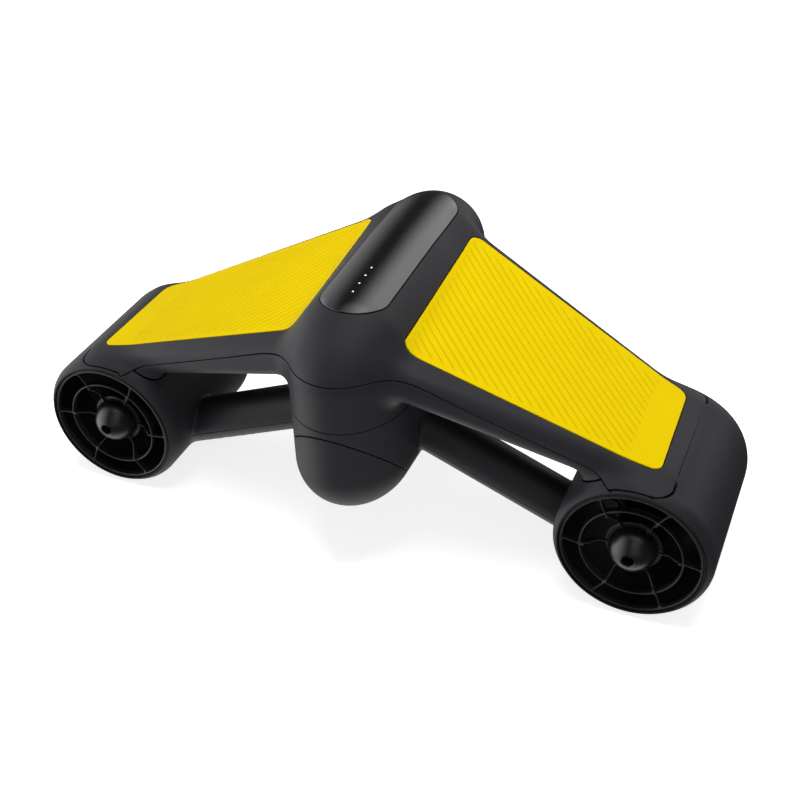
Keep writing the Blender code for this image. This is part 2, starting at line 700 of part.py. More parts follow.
def tail_cone_profile():
    """A dome that closes round the rear bearing, hollow on its front side."""
    profile = [(0.0, -0.0018), (0.0036, -0.0018)]
    for k in range(7):
        angle = math.radians(13.8 + 72.4 * k / 6)
        profile.append((DOME_R * math.sin(angle), DOME_Y - DOME_DEPTH * math.cos(angle)))
    return profile + [(DOME_R, 0.0094), (DOME_R - 0.0016, 0.0094), (0.0143, 0.0055),
                      (0.0115, 0.0005), (0.0, 0.0005)]


# Plain turned pieces: (name, profile, steps, material)
TURNED_PIECES = (
    ("tail_cone", tail_cone_profile(), 18, GUARD),
    ("rear_bearing", tube_profile(BEARING_IN, BEARING_OUT, 0.0060, 0.0110), 12, STEEL),
    ("motor_shaft", SHAFT_PROFILE, 12, STEEL),
    ("motor_case", MOTOR_CASE, 24, ALU),
    ("rotor", tube_profile(0.0028, 0.0140, 0.0590, 0.0970), 16, STEEL),
    ("front_bearing", tube_profile(BEARING_IN, BEARING_OUT, 0.1045, 0.1095), 12, STEEL))


def duct_housing():
    duct = to_object("duct_housing_right", turned(DUCT_PROFILE, DUCT_STEPS, THRUSTER), HULL)
    cut(duct, box((THRUSTER_X - 0.03, -0.01, -0.07), (THRUSTER_X + 0.03, 0.15, FLAT_Z)))
    lap = to_object("lap", thruster_cylinder(0.0700, LAP_Y0 - GAP, LAP_Y1 + GAP, DUCT_STEPS))
    cut(lap, thruster_cylinder(LAP_R - GAP, -0.01, 0.15, DUCT_STEPS))
    trim_to(lap, seam_solid(True, -GAP, TIP_SEAM + GAP))
    return cut(duct, lap)


def spoke(angle, root, tip, rear, front, thick, sweep):
    """A thin radial blade that bows round the axis by sweep at its middle."""
    rows = []
    for k in range(5):
        t = k / 4
        radius = root + (tip - root) * t
        bowed = angle + sweep * math.sin(math.pi * t)
        x, z = radius * math.cos(bowed), radius * math.sin(bowed)
        side_x, side_z = thick / 2 * math.sin(bowed), thick / 2 * math.cos(bowed)
        rows.append([(THRUSTER_X + x - side_x, rear, z + side_z),
                     (THRUSTER_X + x + side_x, rear, z - side_z),
                     (THRUSTER_X + x + side_x, front, z - side_z),
                     (THRUSTER_X + x - side_x, front, z + side_z)])
    return loft(rows)


def rear_guard():
    """Outer ring, hub, six bowed spokes and a middle ring."""
    ring = tube_profile(*GUARD_RING, 0.0010, 0.0052)
    guard = to_object("rear_guard_right", turned(ring, 30, THRUSTER), GUARD)
    hub = to_object("hub", turned(REAR_HUB, 18, THRUSTER))
    for k in range(6):
        join(hub, spoke(math.radians(60 * k), root=0.0200, tip=0.0473, rear=0.0022,
                        front=0.0112, thick=0.0013, sweep=math.radians(4)))
    join(hub, turned(tube_profile(0.0338, 0.0352, 0.0030, 0.0076), 30, THRUSTER))
    join(guard, hub)
    return cut(guard, thruster_cylinder(0.0058, 0.0, 0.02, 12))


def front_guard():
    """Outer ring, nose fairing and six straight spokes."""
    ring = tube_profile(*GUARD_RING, 0.1170, 0.1270)
    guard = to_object("front_guard_right", turned(ring, 30, THRUSTER), GUARD)
    nose = to_object("nose", turned(NOSE_PROFILE, 18, THRUSTER))
    for k in range(6):
        join(nose, spoke(math.radians(30 + 60 * k), root=0.0180, tip=0.0474, rear=0.1080,
                         front=0.1262, thick=0.0018, sweep=0.0))
    return join(guard, nose)


def prop_nut():
    nut = to_object("prop_nut_right", thruster_cylinder(NUT_R, *NUT_Y, 6), STEEL)
    return cut(nut, thruster_cylinder(0.0027, 0.01, 0.02, 12))


PROP_HUB = ((0.0028, 0.0162), (0.0110, 0.0162), (0.0150, 0.0200), (0.0165, 0.0260),
            (0.0165, 0.0470), (0.0028, 0.0470))
BLADE_ROOT = 0.0120
# Blade section: (place along the chord, height as a share of thickness)
BLADE_SECTION = ((-0.5, 0.15), (-0.25, 0.8), (0.05, 1.0), (0.3, 0.75), (0.5, 0.12),
                 (0.3, -0.35), (0.05, -0.5), (-0.25, -0.35))


def blade(angle):
    """A skewed propeller blade: thin sections whose pitch falls from root to tip."""
    rows = []
    for k in range(5):
        t = k / 4
        radius = BLADE_ROOT + (PROP_R - BLADE_ROOT) * t
        pitch = math.radians(58 - 34 * t)
        chord = 0.021 + 0.010 * math.sin(math.pi * min(1.0, t * 0.85 + 0.1)) - 0.006 * t
        thick = 0.0026 * (1 - t) + 0.0010
        skew = math.radians(18) * t * t
        ring = []
        for chord_share, thick_share in BLADE_SECTION:
            chordwise, across = chord_share * chord, thick_share * thick * 0.6
            around = (chordwise * math.cos(pitch) - across * math.sin(pitch)) / radius
            lengthwise = chordwise * math.sin(pitch) + across * math.cos(pitch)
            turn = angle + skew + around
            ring.append((THRUSTER_X + radius * math.cos(turn), PROP_Y + lengthwise,
                         radius * math.sin(turn)))
        rows.append(ring)
    return loft(rows)


def propeller():
    part = to_object("propeller_right", turned(PROP_HUB, 18, THRUSTER), PROP)
    for k in range(3):
        join(part, blade(2 * math.pi * k / 3 + 0.3))
    return cut(part, thruster_cylinder(0.0028, 0.01, 0.06, 12))


def stator():
    """A toothed ring: sectors alternate between two radii."""
    count = 24
    outline = []
    for k in range(count):
        radius = 0.0205 if k % 2 == 0 else 0.0190
        for angle in (2 * math.pi * k / count, 2 * math.pi * (k + 1) / count):
            outline.append((THRUSTER_X + radius * math.cos(angle), radius * math.sin(angle)))
    part = to_object("stator_right", prism(outline, "Y", 0.0600, 0.0960), COPPER)
    return cut(part, thruster_cylinder(0.0146, 0.05, 0.11, 24))


# ---------------------------------------------------------------- handle and trigger (starboard)
GRIP_R, GRIP_IN = 0.0167, 0.0143
GRIP_PART = -0.0018                     # parting plane of the handle halves
TRIG_X0, TRIG_X1 = 0.0060, 0.0540
TRIG_W = 0.0090                         # trigger half width
TRIG_OUT, TRIG_IN = 0.0180, 0.0130      # trigger outside and inside radius
TRIG_EDGE = 0.0012                      # drop of its outer edges
PIN_X, PIN_OUTWARD = 0.0495, 0.0100     # pin place along the handle and outward
PIN_R = 0.0016
PIN_LUG = ((0.0450, -0.0050, 0.0066), (0.0535, 0.0050, 0.0140))
TRIG_BOARD = ((-0.003, -0.0120, 0.0006), (0.041, 0.0120, 0.0022))


def pin_cylinder(radius, half):
    return facing(cylinder(radius, -half, half, 12, "Y", (PIN_X, PIN_OUTWARD)))


def grip_half(name, low, high):
    """The part of the handle tube between two heights in the handle frame."""
    part = to_object(name, in_handle(cylinder(GRIP_R, -0.080, 0.066, 28, "X", (0.0, 0.0))),
                     HULL)
    cut(part, in_handle(cylinder(GRIP_IN, -0.09, 0.08, 28, "X", (0.0, 0.0))))
    trim_to(part, in_handle(box((-0.1, -0.05, low), (0.1, 0.05, high))))
    cut(part, box((-0.03, -0.06, -0.06), (POD_W + GAP, 0.20, 0.20)))
    return cut(part, thruster_cylinder(DUCT_R + GAP, -0.05, 0.20, DUCT_STEPS))


def grip_upper():
    return grip_half("grip_upper_right", GRIP_PART, 0.05)


def grip_lower():
    grip = grip_half("grip_lower_right", -0.05, GRIP_PART - GAP)
    cut(grip, facing(box((TRIG_X0 - 0.0018, -TRIG_W - 0.0005, 0.006),
                         (TRIG_X1 + 0.0012, TRIG_W + 0.0005, 0.03))))
    return cut(grip, pin_cylinder(PIN_R + GAP, 0.0152))


def trigger():
    outline = []
    for k in range(9):
        across = -TRIG_W + 2 * TRIG_W * k / 8
        drop = TRIG_EDGE if k in (0, 8) else 0.0
        outline.append((across, math.sqrt(TRIG_OUT ** 2 - across * across) - drop))
    for k in range(7):
        across = TRIG_W - 2 * TRIG_W * k / 6
        outline.append((across, math.sqrt(TRIG_IN ** 2 - across * across)))
    part = to_object("trigger_right", facing(prism(outline, "X", TRIG_X0, TRIG_X1)), GUARD)
    join(part, facing(box(*PIN_LUG)))
    return cut(part, pin_cylinder(PIN_R + GAP, 0.02))


def trigger_pin():
    return to_object("trigger_pin_right", pin_cylinder(PIN_R, 0.0120), STEEL)


def trigger_spring():
    """A coil of square wire standing on the trigger board's side of the trigger."""
    turns, steps, wire_r, coil_r = 4, 9, 0.00045, 0.0032
    centre_x, low, high = 0.0150, 0.0030, 0.0121
    rows = []
    for k in range(turns * steps + 1):
        angle = 2 * math.pi * k / steps
        z = low + (high - low) * k / (turns * steps)
        ring = []
        for j in range(4):
            corner = math.pi / 2 * j + math.pi / 4
            radius = coil_r + wire_r * math.cos(corner)
            ring.append((centre_x + radius * math.cos(angle), radius * math.sin(angle),
                         z + wire_r * math.sin(corner)))
        rows.append(ring)
    return to_object("trigger_spring_right", facing(loft(rows)), STEEL)


def trigger_board():
    return to_object("trigger_board_right", facing(box(*TRIG_BOARD)), BOARD)


def power_cable():
    cable = cylinder(0.0024, -0.0712, 0.0432, 10, "X", (0.0, CABLE_Z))
    return to_object("power_cable_right", in_handle(cable), CABLE)


# ---------------------------------------------------------------- build
hull_cavity = hull_form("hull_inner", WALL)
pod_cavity = to_object("pod_inner", pod_loft(WALL))
window = status_window()
panel = deck_panel()
skins = [top_shell(hull_cavity), lower_hull(hull_cavity), window, panel, port_twin(panel)]
hatch_frame(pod_cavity)
tail_cap(pod_cavity)
for helper in (hull_cavity, pod_cavity):
    bpy.data.objects.remove(helper, do_unlink=True)
for skin in skins:
    simplify(skin)

for where, x, y in SCREWS:
    hull_screw(f"hull_screw_{where}_right", x, y)
    hull_screw(f"hull_screw_{where}_left", -x, y)

for build in (battery_case, cell_pack, battery_seal, battery_sleeve, battery_connector,
              control_board, led_board):
    build()

for name, profile, steps, mat in TURNED_PIECES:
    port_twin(to_object(f"{name}_right", turned(profile, steps, THRUSTER), mat))
for build in (duct_housing, rear_guard, prop_nut, propeller, stator, front_guard,
              grip_upper, grip_lower, trigger, trigger_pin, trigger_spring, trigger_board,
              power_cable):
    port_twin(build())

# ---------------------------------------------------------------- origins, parent and shading
# Moving pieces have their origin on their joint; all others have it at the datum.
pin = GRIP_FRAME @ (Vector((PIN_X, 0, 0)) + PRESS * PIN_OUTWARD)
pivots = {}
for side_name, side in zip(("right", "left"), SIDES):
    for spinning in ("propeller", "prop_nut", "motor_shaft", "rotor"):
        pivots[f"{spinning}_{side_name}"] = Vector((side * THRUSTER_X, PROP_Y, 0.0))
    pivots[f"trigger_{side_name}"] = Vector((side * pin.x, pin.y, pin.z))
for sliding in ("tail_cap", "battery_case", "cell_pack", "battery_seal"):
    pivots[sliding] = Vector((0.0, BATT_Y0, BATT_MID_Z))

datum = bpy.data.objects.new("thruster_datum", None)
datum.location = (0.0, -(POD_BACK + POD_FRONT) / 2, -FLAT_Z)
COLLECTION.objects.link(datum)

for part in list(bpy.data.objects):
    if part.type != "MESH":
        continue
    pivot = pivots.get(part.name, Vector((0, 0, 0)))
    part.data.transform(Matrix.Translation(-pivot))
    part.location = pivot
    part.parent = datum
    part.data.shade_smooth()
    part.data.set_sharp_from_angle(angle=math.radians(32))
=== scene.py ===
"""Twin-thruster craft: a central pod, a wing with a trigger handle on each side, and a duct at
each wing tip.

Metres. +Y is forward, +X the craft's right and +Z up. Pieces are drawn in a datum frame whose
origin is on the centre plane, at the height of the thruster axes and the rear of the ducts.
The moulded body is a distance field, negative inside, that is meshed once and then cut along
its seams. Most fields take |x|, so the craft is symmetric.
"""
import json
import math
import bpy
import bmesh
import numpy as np
from mathutils import Matrix, Vector


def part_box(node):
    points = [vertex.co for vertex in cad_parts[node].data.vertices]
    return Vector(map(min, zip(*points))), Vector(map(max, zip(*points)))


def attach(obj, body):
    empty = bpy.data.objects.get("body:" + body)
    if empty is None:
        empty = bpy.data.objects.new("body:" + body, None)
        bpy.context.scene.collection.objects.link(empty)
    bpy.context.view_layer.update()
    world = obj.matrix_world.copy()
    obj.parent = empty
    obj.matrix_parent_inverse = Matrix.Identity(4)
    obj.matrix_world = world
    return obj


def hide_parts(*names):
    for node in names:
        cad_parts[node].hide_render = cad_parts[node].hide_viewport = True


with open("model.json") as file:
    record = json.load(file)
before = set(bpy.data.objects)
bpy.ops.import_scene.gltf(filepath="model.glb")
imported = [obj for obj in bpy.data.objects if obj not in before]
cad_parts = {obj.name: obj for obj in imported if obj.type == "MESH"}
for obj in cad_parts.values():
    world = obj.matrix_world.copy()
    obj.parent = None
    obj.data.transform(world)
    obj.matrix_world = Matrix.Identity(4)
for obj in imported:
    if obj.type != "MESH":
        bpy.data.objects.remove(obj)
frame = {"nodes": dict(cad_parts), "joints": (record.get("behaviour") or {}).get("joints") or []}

SCENE = bpy.context.scene
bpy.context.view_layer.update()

# Driving places, taken from the CAD pieces.
duct_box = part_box("duct_housing_right")
spin = next(j for j in frame["joints"] if j["name"] == "propeller_right_spin")
DATUM_Y = duct_box[0].y
AXIS_HEIGHT = spin["pos_m"][2]               # thruster axis above the ground
DATUM = np.array([0.0, DATUM_Y, AXIS_HEIGHT])
AXIS_X = spin["pos_m"][0]                    # thruster axis from the centre plane
DUCT_R = (duct_box[1].x - duct_box[0].x) / 2
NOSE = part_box("lower_hull")[1].y - DATUM_Y   # foremost point
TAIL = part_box("tail_cap")[0].y - DATUM_Y     # rearmost point

# Moulding
GRID = 0.0022            # cell size of the body mesh
WALL = 0.0024                                # thickness of the moulded skins
EDGE = 0.0004                                # rounding of their borders
SEAM_GAP = 0.00022                           # half the open gap
SEAM = SEAM_GAP + EDGE                       # from a seam line to the cut border


# ---------------------------------------------------------------- field helpers
def smin(a, b, blend):
    """Minimum with a fillet of the given width."""
    overlap = np.maximum(blend - np.abs(a - b), 0.0)
    return np.minimum(a, b) - overlap * overlap / (4 * blend)


def smax(a, b, blend):
    return -smin(-a, -b, blend)


def smooth(t):
    t = np.clip(t, 0.0, 1.0)
    return t * t * (3 - 2 * t)


def straight(line, at):
    """Value of a straight line given as (start, value there, slope)."""
    start, value, slope = line
    return value + slope * (at - start)


def slab(value, low, high):
    """Distance outside the range low to high, negative within it."""
    return np.abs(value - (low + high) / 2) - (high - low) / 2


def rounded_box(radius, *sides):
    """Distance to a box with rounded edges, from the distances to its pairs of sides."""
    sides = [side + radius for side in sides]
    beyond = np.sqrt(sum(np.maximum(side, 0) ** 2 for side in sides))
    return beyond + np.minimum(np.maximum.reduce(sides), 0) - radius


def inset(field, distance):
    return lambda p: field(p) - distance


def outside(field):
    return lambda p: -field(p)


def half_space(p):
    """|x|, y and z of points."""
    return np.abs(p[..., 0]), p[..., 1], p[..., 2]


# ---------------------------------------------------------------- hull form
POD_HALF_WIDTH = 0.041
POD_REAR = 0.015                             # the pod tapers behind this y
POD_FRONT = 0.1645                           # and ahead of this one
NOSE_POWER = 2.65                            # squareness of the nose
CROWN = (0.02, 0.1065, 0.0423)               # height of the pod's upper centre line along y
CROWN_FRONT = 0.104                          # the crown is level ahead of this y

# Wing edges and deck corners as lines along |x|: (start, value there, slope).
WING_REAR = (0.1, 0.0, 0.172)
WING_FRONT = (0.0392, 0.1542, -0.211)
DECK_REAR_Y, DECK_REAR_Z = (0.1, 0.0173, 0.0464), (0.1, 0.0945, -0.3617)
DECK_FRONT_Y, DECK_FRONT_Z = (0.1, 0.1345, -0.195), (0.1, 0.1053, -0.4573)
WING_THICK = 0.0265
WING_TILT = 0.925                            # shrinks heights, because the deck slopes
WING_TIP = 0.2165
WING_ROOT = 0.034                            # the wing fades out inside the pod from here

DUCT_REAR, DUCT_FRONT = -0.001, 0.1345


def pod_field(ax, y, z):
    top = straight(CROWN, np.clip(y, CROWN[0], CROWN_FRONT))
    top = top - 0.0055 * smooth((CROWN[0] - y) / 0.035)        # falls towards the tail
    low = 0.0295 + 0.010 * smooth((y - 0.148) / 0.075)         # rises towards the nose
    dz = z - np.clip(z, low, top)
    section = np.sqrt(ax * ax + dz * dz) / POD_HALF_WIDTH
    back = np.clip((POD_REAR - y) / (POD_REAR - TAIL), 0, None)
    rake = 0.0245 * np.clip((z - 0.020) / 0.090, 0, 1)         # the nose leans back to the crown
    front = np.clip((y + rake - POD_FRONT) / (NOSE - POD_FRONT), 0, None)
    rear = np.sqrt(section * section + back * back)
    nose = (section ** NOSE_POWER + front ** NOSE_POWER) ** (1 / NOSE_POWER)
    return (np.where(y < 0.08, rear, nose) - 1) * POD_HALF_WIDTH


def deck_z(ax, y):
    """Height of the sloping upper face of the wing."""
    rear_z, rear_y = straight(DECK_REAR_Z, ax), straight(DECK_REAR_Y, ax)
    front_z, front_y = straight(DECK_FRONT_Z, ax), straight(DECK_FRONT_Y, ax)
    return rear_z + (y - rear_y) / (front_y - rear_y) * (front_z - rear_z)


def wing_field(ax, y, z):
    droop = 0.0016 * smooth((ax - 0.180) / 0.03)
    middle = deck_z(ax, y) - WING_THICK / 2 - droop
    radius = np.where(y > 0.07, 0.0088, np.where(z > middle, 0.0082, 0.0122))
    field = rounded_box(radius, slab(y, straight(WING_REAR, ax), straight(WING_FRONT, ax)),
                        (np.abs(z - middle) - WING_THICK / 2) * WING_TILT)
    field = smax(field, ax - WING_TIP, 0.008)
    fade = np.clip(WING_ROOT - ax, 0, 0.016)
    return field + 1.1 * (fade * fade / 0.032 + np.maximum(0.018 - ax, 0))


def duct_field(ax, y, z):
    radius = np.sqrt((ax - AXIS_X) ** 2 + z * z)
    field = smax(radius - DUCT_R, DUCT_REAR - y, 0.012)
    return smax(field, y - DUCT_FRONT, 0.020)


def skin(p):
    """Field of the moulded body, without the handles and bores."""
    ax, y, z = half_space(p)
    fillet = 0.0105 + 0.003 * smooth((y - 0.12) / 0.03)
    field = smin(pod_field(ax, y, z), wing_field(ax, y, z), fillet)
    field = smin(field, duct_field(ax, y, z), 0.015)
    return np.maximum(field, -(z + AXIS_HEIGHT))      # flats under the ducts


# ---------------------------------------------------------------- meshing a field
def gradient(field, points, step=2e-5):
    slope = np.empty_like(points)
    for axis in range(3):
        shift = np.zeros(3)
        shift[axis] = step
        slope[:, axis] = (field(points + shift) - field(points - shift)) / (2 * step)
    return slope


def unit(v):
    return v / np.maximum(np.linalg.norm(v, axis=-1, keepdims=True), 1e-12)


def normals_of(field, points):
    return unit(gradient(field, points))


def to_surface(field, points, rounds):
    for _ in range(rounds):
        slope = gradient(field, points)
        share = field(points) / np.maximum((slope * slope).sum(1), 1e-6)
        points = points - share[:, None] * slope
    return points


def surface_nets(field, low, high, step):
    """Quads on the zero set of a field, one vertex in each crossed cell."""
    axes = [np.arange(low[i], high[i] + step, step) for i in range(3)]
    size = [len(a) for a in axes]
    values = np.empty(size, np.float32)
    yy, zz = np.meshgrid(axes[1], axes[2], indexing="ij")
    for i, x in enumerate(axes[0]):
        values[i] = field(np.stack([np.full_like(yy, x), yy, zz], -1))
    inside = values < 0
    cells = [n - 1 for n in size]
    total = np.zeros(cells + [3], np.float32)
    count = np.zeros(cells, np.float32)
    crossings = []
    for a in range(3):
        b, c = (a + 1) % 3, (a + 2) % 3
        start, end = [slice(None)] * 3, [slice(None)] * 3
        start[a], end[a] = slice(0, -1), slice(1, None)
        start, end = tuple(start), tuple(end)
        index = np.argwhere(inside[start] != inside[end])
        index = index[(index[:, b] > 0) & (index[:, c] > 0)
                      & (index[:, b] < size[b] - 1) & (index[:, c] < size[c] - 1)]
        f0, f1 = values[start][tuple(index.T)], values[end][tuple(index.T)]
        where = index.astype(np.float32)
        where[:, a] += f0 / (f0 - f1)
        ring = []
        for db, dc in ((-1, -1), (0, -1), (0, 0), (-1, 0)):
            cell = index.copy()
            cell[:, b] += db
            cell[:, c] += dc
            np.add.at(total, tuple(cell.T), where)
            np.add.at(count, tuple(cell.T), 1)
            ring.append(cell)
        crossings.append((ring, f0 < 0))
    used = count > 0
    number = np.full(cells, -1, np.int64)
    number[used] = np.arange(used.sum())
    verts = total[used] / count[used][:, None] * step + np.array(low)
    faces = []
    for ring, outward in crossings:
        quads = np.stack([number[tuple(cell.T)] for cell in ring], 1)
        quads[~outward] = quads[~outward][:, ::-1]
        faces.append(quads)
    return verts.astype(float), np.concatenate(faces)


def relax(field, verts, quads, rounds):
    """Even out the vertices while they stay on the surface."""
    pairs = np.concatenate([quads[:, [i, (i + 1) % 4]] for i in range(4)])
    pairs = np.unique(np.sort(pairs, 1), axis=0)
    degree = np.bincount(pairs.ravel(), minlength=len(verts))[:, None]
    for _ in range(rounds):
        total = np.zeros_like(verts)
        np.add.at(total, pairs[:, 0], verts[pairs[:, 1]])
        np.add.at(total, pairs[:, 1], verts[pairs[:, 0]])
        verts = 0.5 * verts + 0.5 * total / np.maximum(degree, 1)
        verts = to_surface(field, verts, 2)
    return verts


def mesh_field(field, low, high, step, rounds):
    verts, quads = surface_nets(field, low, high, step)
    verts = to_surface(field, verts, 3)
    return relax(field, verts, quads, rounds), quads


def split_quads(quads):
    return np.concatenate([quads[:, [0, 1, 2]], quads[:, [0, 2, 3]]])


# A piece is (vertices, list of triangle arrays, quads, vertex normals).
def solid(field, low, high, step):
    """A whole field as a piece."""
    verts, quads = mesh_field(field, low, high, step, rounds=1)
    return verts, [], quads, normals_of(field, verts)


# ---------------------------------------------------------------- cutting a skin along seams
def onto_line(line, points, surface):
    """Move points to where the surface and line fields are both zero."""
    for _ in range(3):
        a, b = gradient(surface, points), gradient(line, points)
        ra, rb = surface(points), line(points)
        aa, bb, ab = (a * a).sum(1), (b * b).sum(1), (a * b).sum(1)
        det = np.maximum(aa * bb - ab * ab, 1e-3 * aa * bb + 1e-12)
        along_a = (bb * ra - ab * rb) / det
        along_b = (aa * rb - ab * ra) / det
        step = along_a[:, None] * a + along_b[:, None] * b
        size = np.linalg.norm(step, axis=1, keepdims=True)
        points = points - step * np.minimum(1, 0.003 / np.maximum(size, 1e-9))
    return points


def tidy(verts, tris):
    """Drop unused vertices."""
    used = np.zeros(len(verts), bool)
    used[tris.ravel()] = True
    number = np.cumsum(used) - 1
    return verts[used], number[tris]


def clip(verts, tris, line, step, surface=skin):
    """Keep the part of a triangle skin where line > 0. Points near it are moved onto it first."""
    values = line(verts)
    near = np.abs(values) < 0.32 * step
    if near.any():
        verts = verts.copy()
        verts[near] = onto_line(line, verts[near], surface)
        values[near] = 0.0
    sign = np.sign(values)
    corner_sign = sign[tris]
    whole = (corner_sign >= 0).all(1) & (corner_sign > 0).any(1)
    mixed = (corner_sign < 0).any(1) & (corner_sign > 0).any(1)
    edges, new_verts, new_tris = {}, [], []
    for tri in tris[mixed]:
        poly = []
        for i in range(3):
            a, b = int(tri[i]), int(tri[(i + 1) % 3])
            if sign[a] >= 0:
                poly.append(a)
            if sign[a] * sign[b] < 0:
                key = (a, b) if a < b else (b, a)
                if key not in edges:
                    share = values[key[0]] / (values[key[0]] - values[key[1]])
                    edges[key] = len(verts) + len(new_verts)
                    new_verts.append(verts[key[0]] * (1 - share) + verts[key[1]] * share)
                poly.append(edges[key])
        for i in range(1, len(poly) - 1):
            new_tris.append((poly[0], poly[i], poly[i + 1]))
    if new_verts:
        verts = np.concatenate([verts, onto_line(line, np.array(new_verts), surface)])
    tris = np.concatenate([tris[whole], np.array(new_tris, np.int64).reshape(-1, 3)])
    return tidy(verts, tris)


def drop_crumbs(verts, tris, floor=60):
    """Keep the connected parts with more than floor triangles."""
    parent = np.arange(len(verts))
    for _ in range(200):
        lowest = parent[tris].min(1)
        new = parent.copy()
        for i in range(3):
            np.minimum.at(new, tris[:, i], lowest)
        new = new[new]
        if (new == parent).all():
            break
        parent = new
    label = parent[tris[:, 0]]
    ids, count = np.unique(label, return_counts=True)
    return tidy(verts, tris[np.isin(label, ids[count > floor])])


def border(tris):
    """Directed edges that only one triangle uses."""
    edges = np.concatenate([tris[:, [0, 1]], tris[:, [1, 2]], tris[:, [2, 0]]])
    _, inverse, count = np.unique(np.sort(edges, 1), axis=0, return_inverse=True,
                                  return_counts=True)
    return edges[count[inverse.reshape(-1)] == 1]


# Rounded border of a wall: shares of the edge radius outward and down, lean of the normal.
ROUNDING = ((0.40, 0.08, 0.45), (0.80, 0.40, 0.80), (1.0, 1.0, 1.0))


def shell(verts, tris, thick=WALL, edge=EDGE, normals=None):
    """A closed moulded wall under a skin patch, its border rounded over and turned inward."""
    if normals is None:
        normals = normals_of(skin, verts)
    rim = border(tris)
    start, end = rim[:, 0], rim[:, 1]
    along = unit(verts[end] - verts[start])
    across = np.cross(along, (normals[start] + normals[end]) / 2)
    outward = np.zeros_like(verts)
    np.add.at(outward, start, across)
    np.add.at(outward, end, across)
    outward = unit(outward - (outward * normals).sum(1, keepdims=True) * normals)
    ids = np.unique(rim)
    count = len(verts)
    places, all_normals = [verts], [normals]
    rings = [np.arange(count)]
    steps = [(out, edge * down, lean) for out, down, lean in ROUNDING] + [(1.0, thick, 1.0)]
    for out, down, lean in steps:
        ring = np.full(len(verts), -1)
        ring[ids] = count + np.arange(len(ids))
        rings.append(ring)
        count += len(ids)
        places.append(verts[ids] + outward[ids] * edge * out - normals[ids] * down)
        all_normals.append(unit(normals[ids] * (1 - lean) + outward[ids] * lean))
    places.append(verts - normals * thick)
    all_normals.append(-normals)
    rings.append(count + np.arange(len(verts)))
    quads = np.concatenate([np.stack([a[end], a[start], b[start], b[end]], 1)
                            for a, b in zip(rings, rings[1:])])
    return (np.concatenate(places), [tris, tris[:, ::-1] + count], quads,
            np.concatenate(all_normals))


def mirrored(piece):
    verts, tris, quads, normals = piece
    flip = np.array([-1.0, 1.0, 1.0])
    return verts * flip, [t[:, ::-1] for t in tris], quads[:, ::-1], normals * flip


# ---------------------------------------------------------------- objects
def as_object(name, mesh):
    ob = bpy.data.objects.new(name, mesh)
    SCENE.collection.objects.link(ob)
    return ob


def dress(ob, body, mat, replaces):
    ob.data.materials.append(mat)
    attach(ob, body)
    if replaces:
        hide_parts(replaces)
    return ob


def add_mesh(name, piece, body, mat, replaces=None):
    """A Blender object from a piece in the datum frame."""
    verts, tris, quads, normals = piece
    faces = tris + [quads]
    index = np.concatenate([f.ravel() for f in faces])
    sizes = np.concatenate([np.full(len(f), f.shape[1]) for f in faces])
    mesh = bpy.data.meshes.new(name)
    mesh.vertices.add(len(verts))
    mesh.vertices.foreach_set("co", (verts + DATUM).astype(np.float32).ravel())
    mesh.loops.add(len(index))
    mesh.loops.foreach_set("vertex_index", index.astype(np.int32))
    mesh.polygons.add(len(sizes))
    starts = np.concatenate([[0], np.cumsum(sizes)[:-1]])
    mesh.polygons.foreach_set("loop_start", starts.astype(np.int32))
    mesh.update(calc_edges=True)
    mesh.validate()
    mesh.shade_smooth()
    if len(mesh.vertices) == len(verts):
        mesh.normals_split_custom_set_from_vertices(normals.astype(np.float32).tolist())
    return dress(as_object(name, mesh), body, mat, replaces)


def add_pair(part, ending, piece, mat, body="hull", replaces=True):
    """A right-hand piece and its mirror image; {} in the names stands for the side."""
    pair = []
    for side, half in (("right", piece), ("left", mirrored(piece))):
        name = part.format(side)
        pair.append(add_mesh(name + ending, half, body.format(side), mat,
                             name if replaces else None))
    return pair


def add_bmesh(name, bm, body, mat, replaces=None, sharp=35):
    """A Blender object from a bmesh in the datum frame; sharp is an angle in degrees."""
    bmesh.ops.remove_doubles(bm, verts=bm.verts, dist=1e-6)
    bmesh.ops.recalc_face_normals(bm, faces=bm.faces)
    bmesh.ops.translate(bm, verts=bm.verts, vec=Vector(DATUM))
    mesh = bpy.data.meshes.new(name)
    bm.to_mesh(mesh)
    bm.free()
    mesh.shade_smooth()
    mesh.set_sharp_from_angle(angle=math.radians(sharp))
    dress(as_object(name, mesh), body, mat, replaces)


def scratch_object(name, bm):
    mesh = bpy.data.meshes.new(name)
    bm.to_mesh(mesh)
    bm.free()
    return as_object(name, mesh)


def carve(bm, tools, operation="DIFFERENCE"):
    """Apply boolean tools to a bmesh one after another."""
    body = scratch_object("body", bm)
    for tool_bm in tools:
        tool = scratch_object("tool", tool_bm)
        modifier = body.modifiers.new("b", "BOOLEAN")
        modifier.object = tool
        modifier.operation = operation
        modifier.solver = "EXACT"
        graph = bpy.context.evaluated_depsgraph_get()
        result = bpy.data.meshes.new_from_object(body.evaluated_get(graph))
        body.modifiers.clear()
        spent = [body.data, tool.data]
        body.data = result
        bpy.data.objects.remove(tool)
        for mesh in spent:
            bpy.data.meshes.remove(mesh)
    out = bmesh.new()
    out.from_mesh(body.data)
    bpy.data.objects.remove(body)
    return out


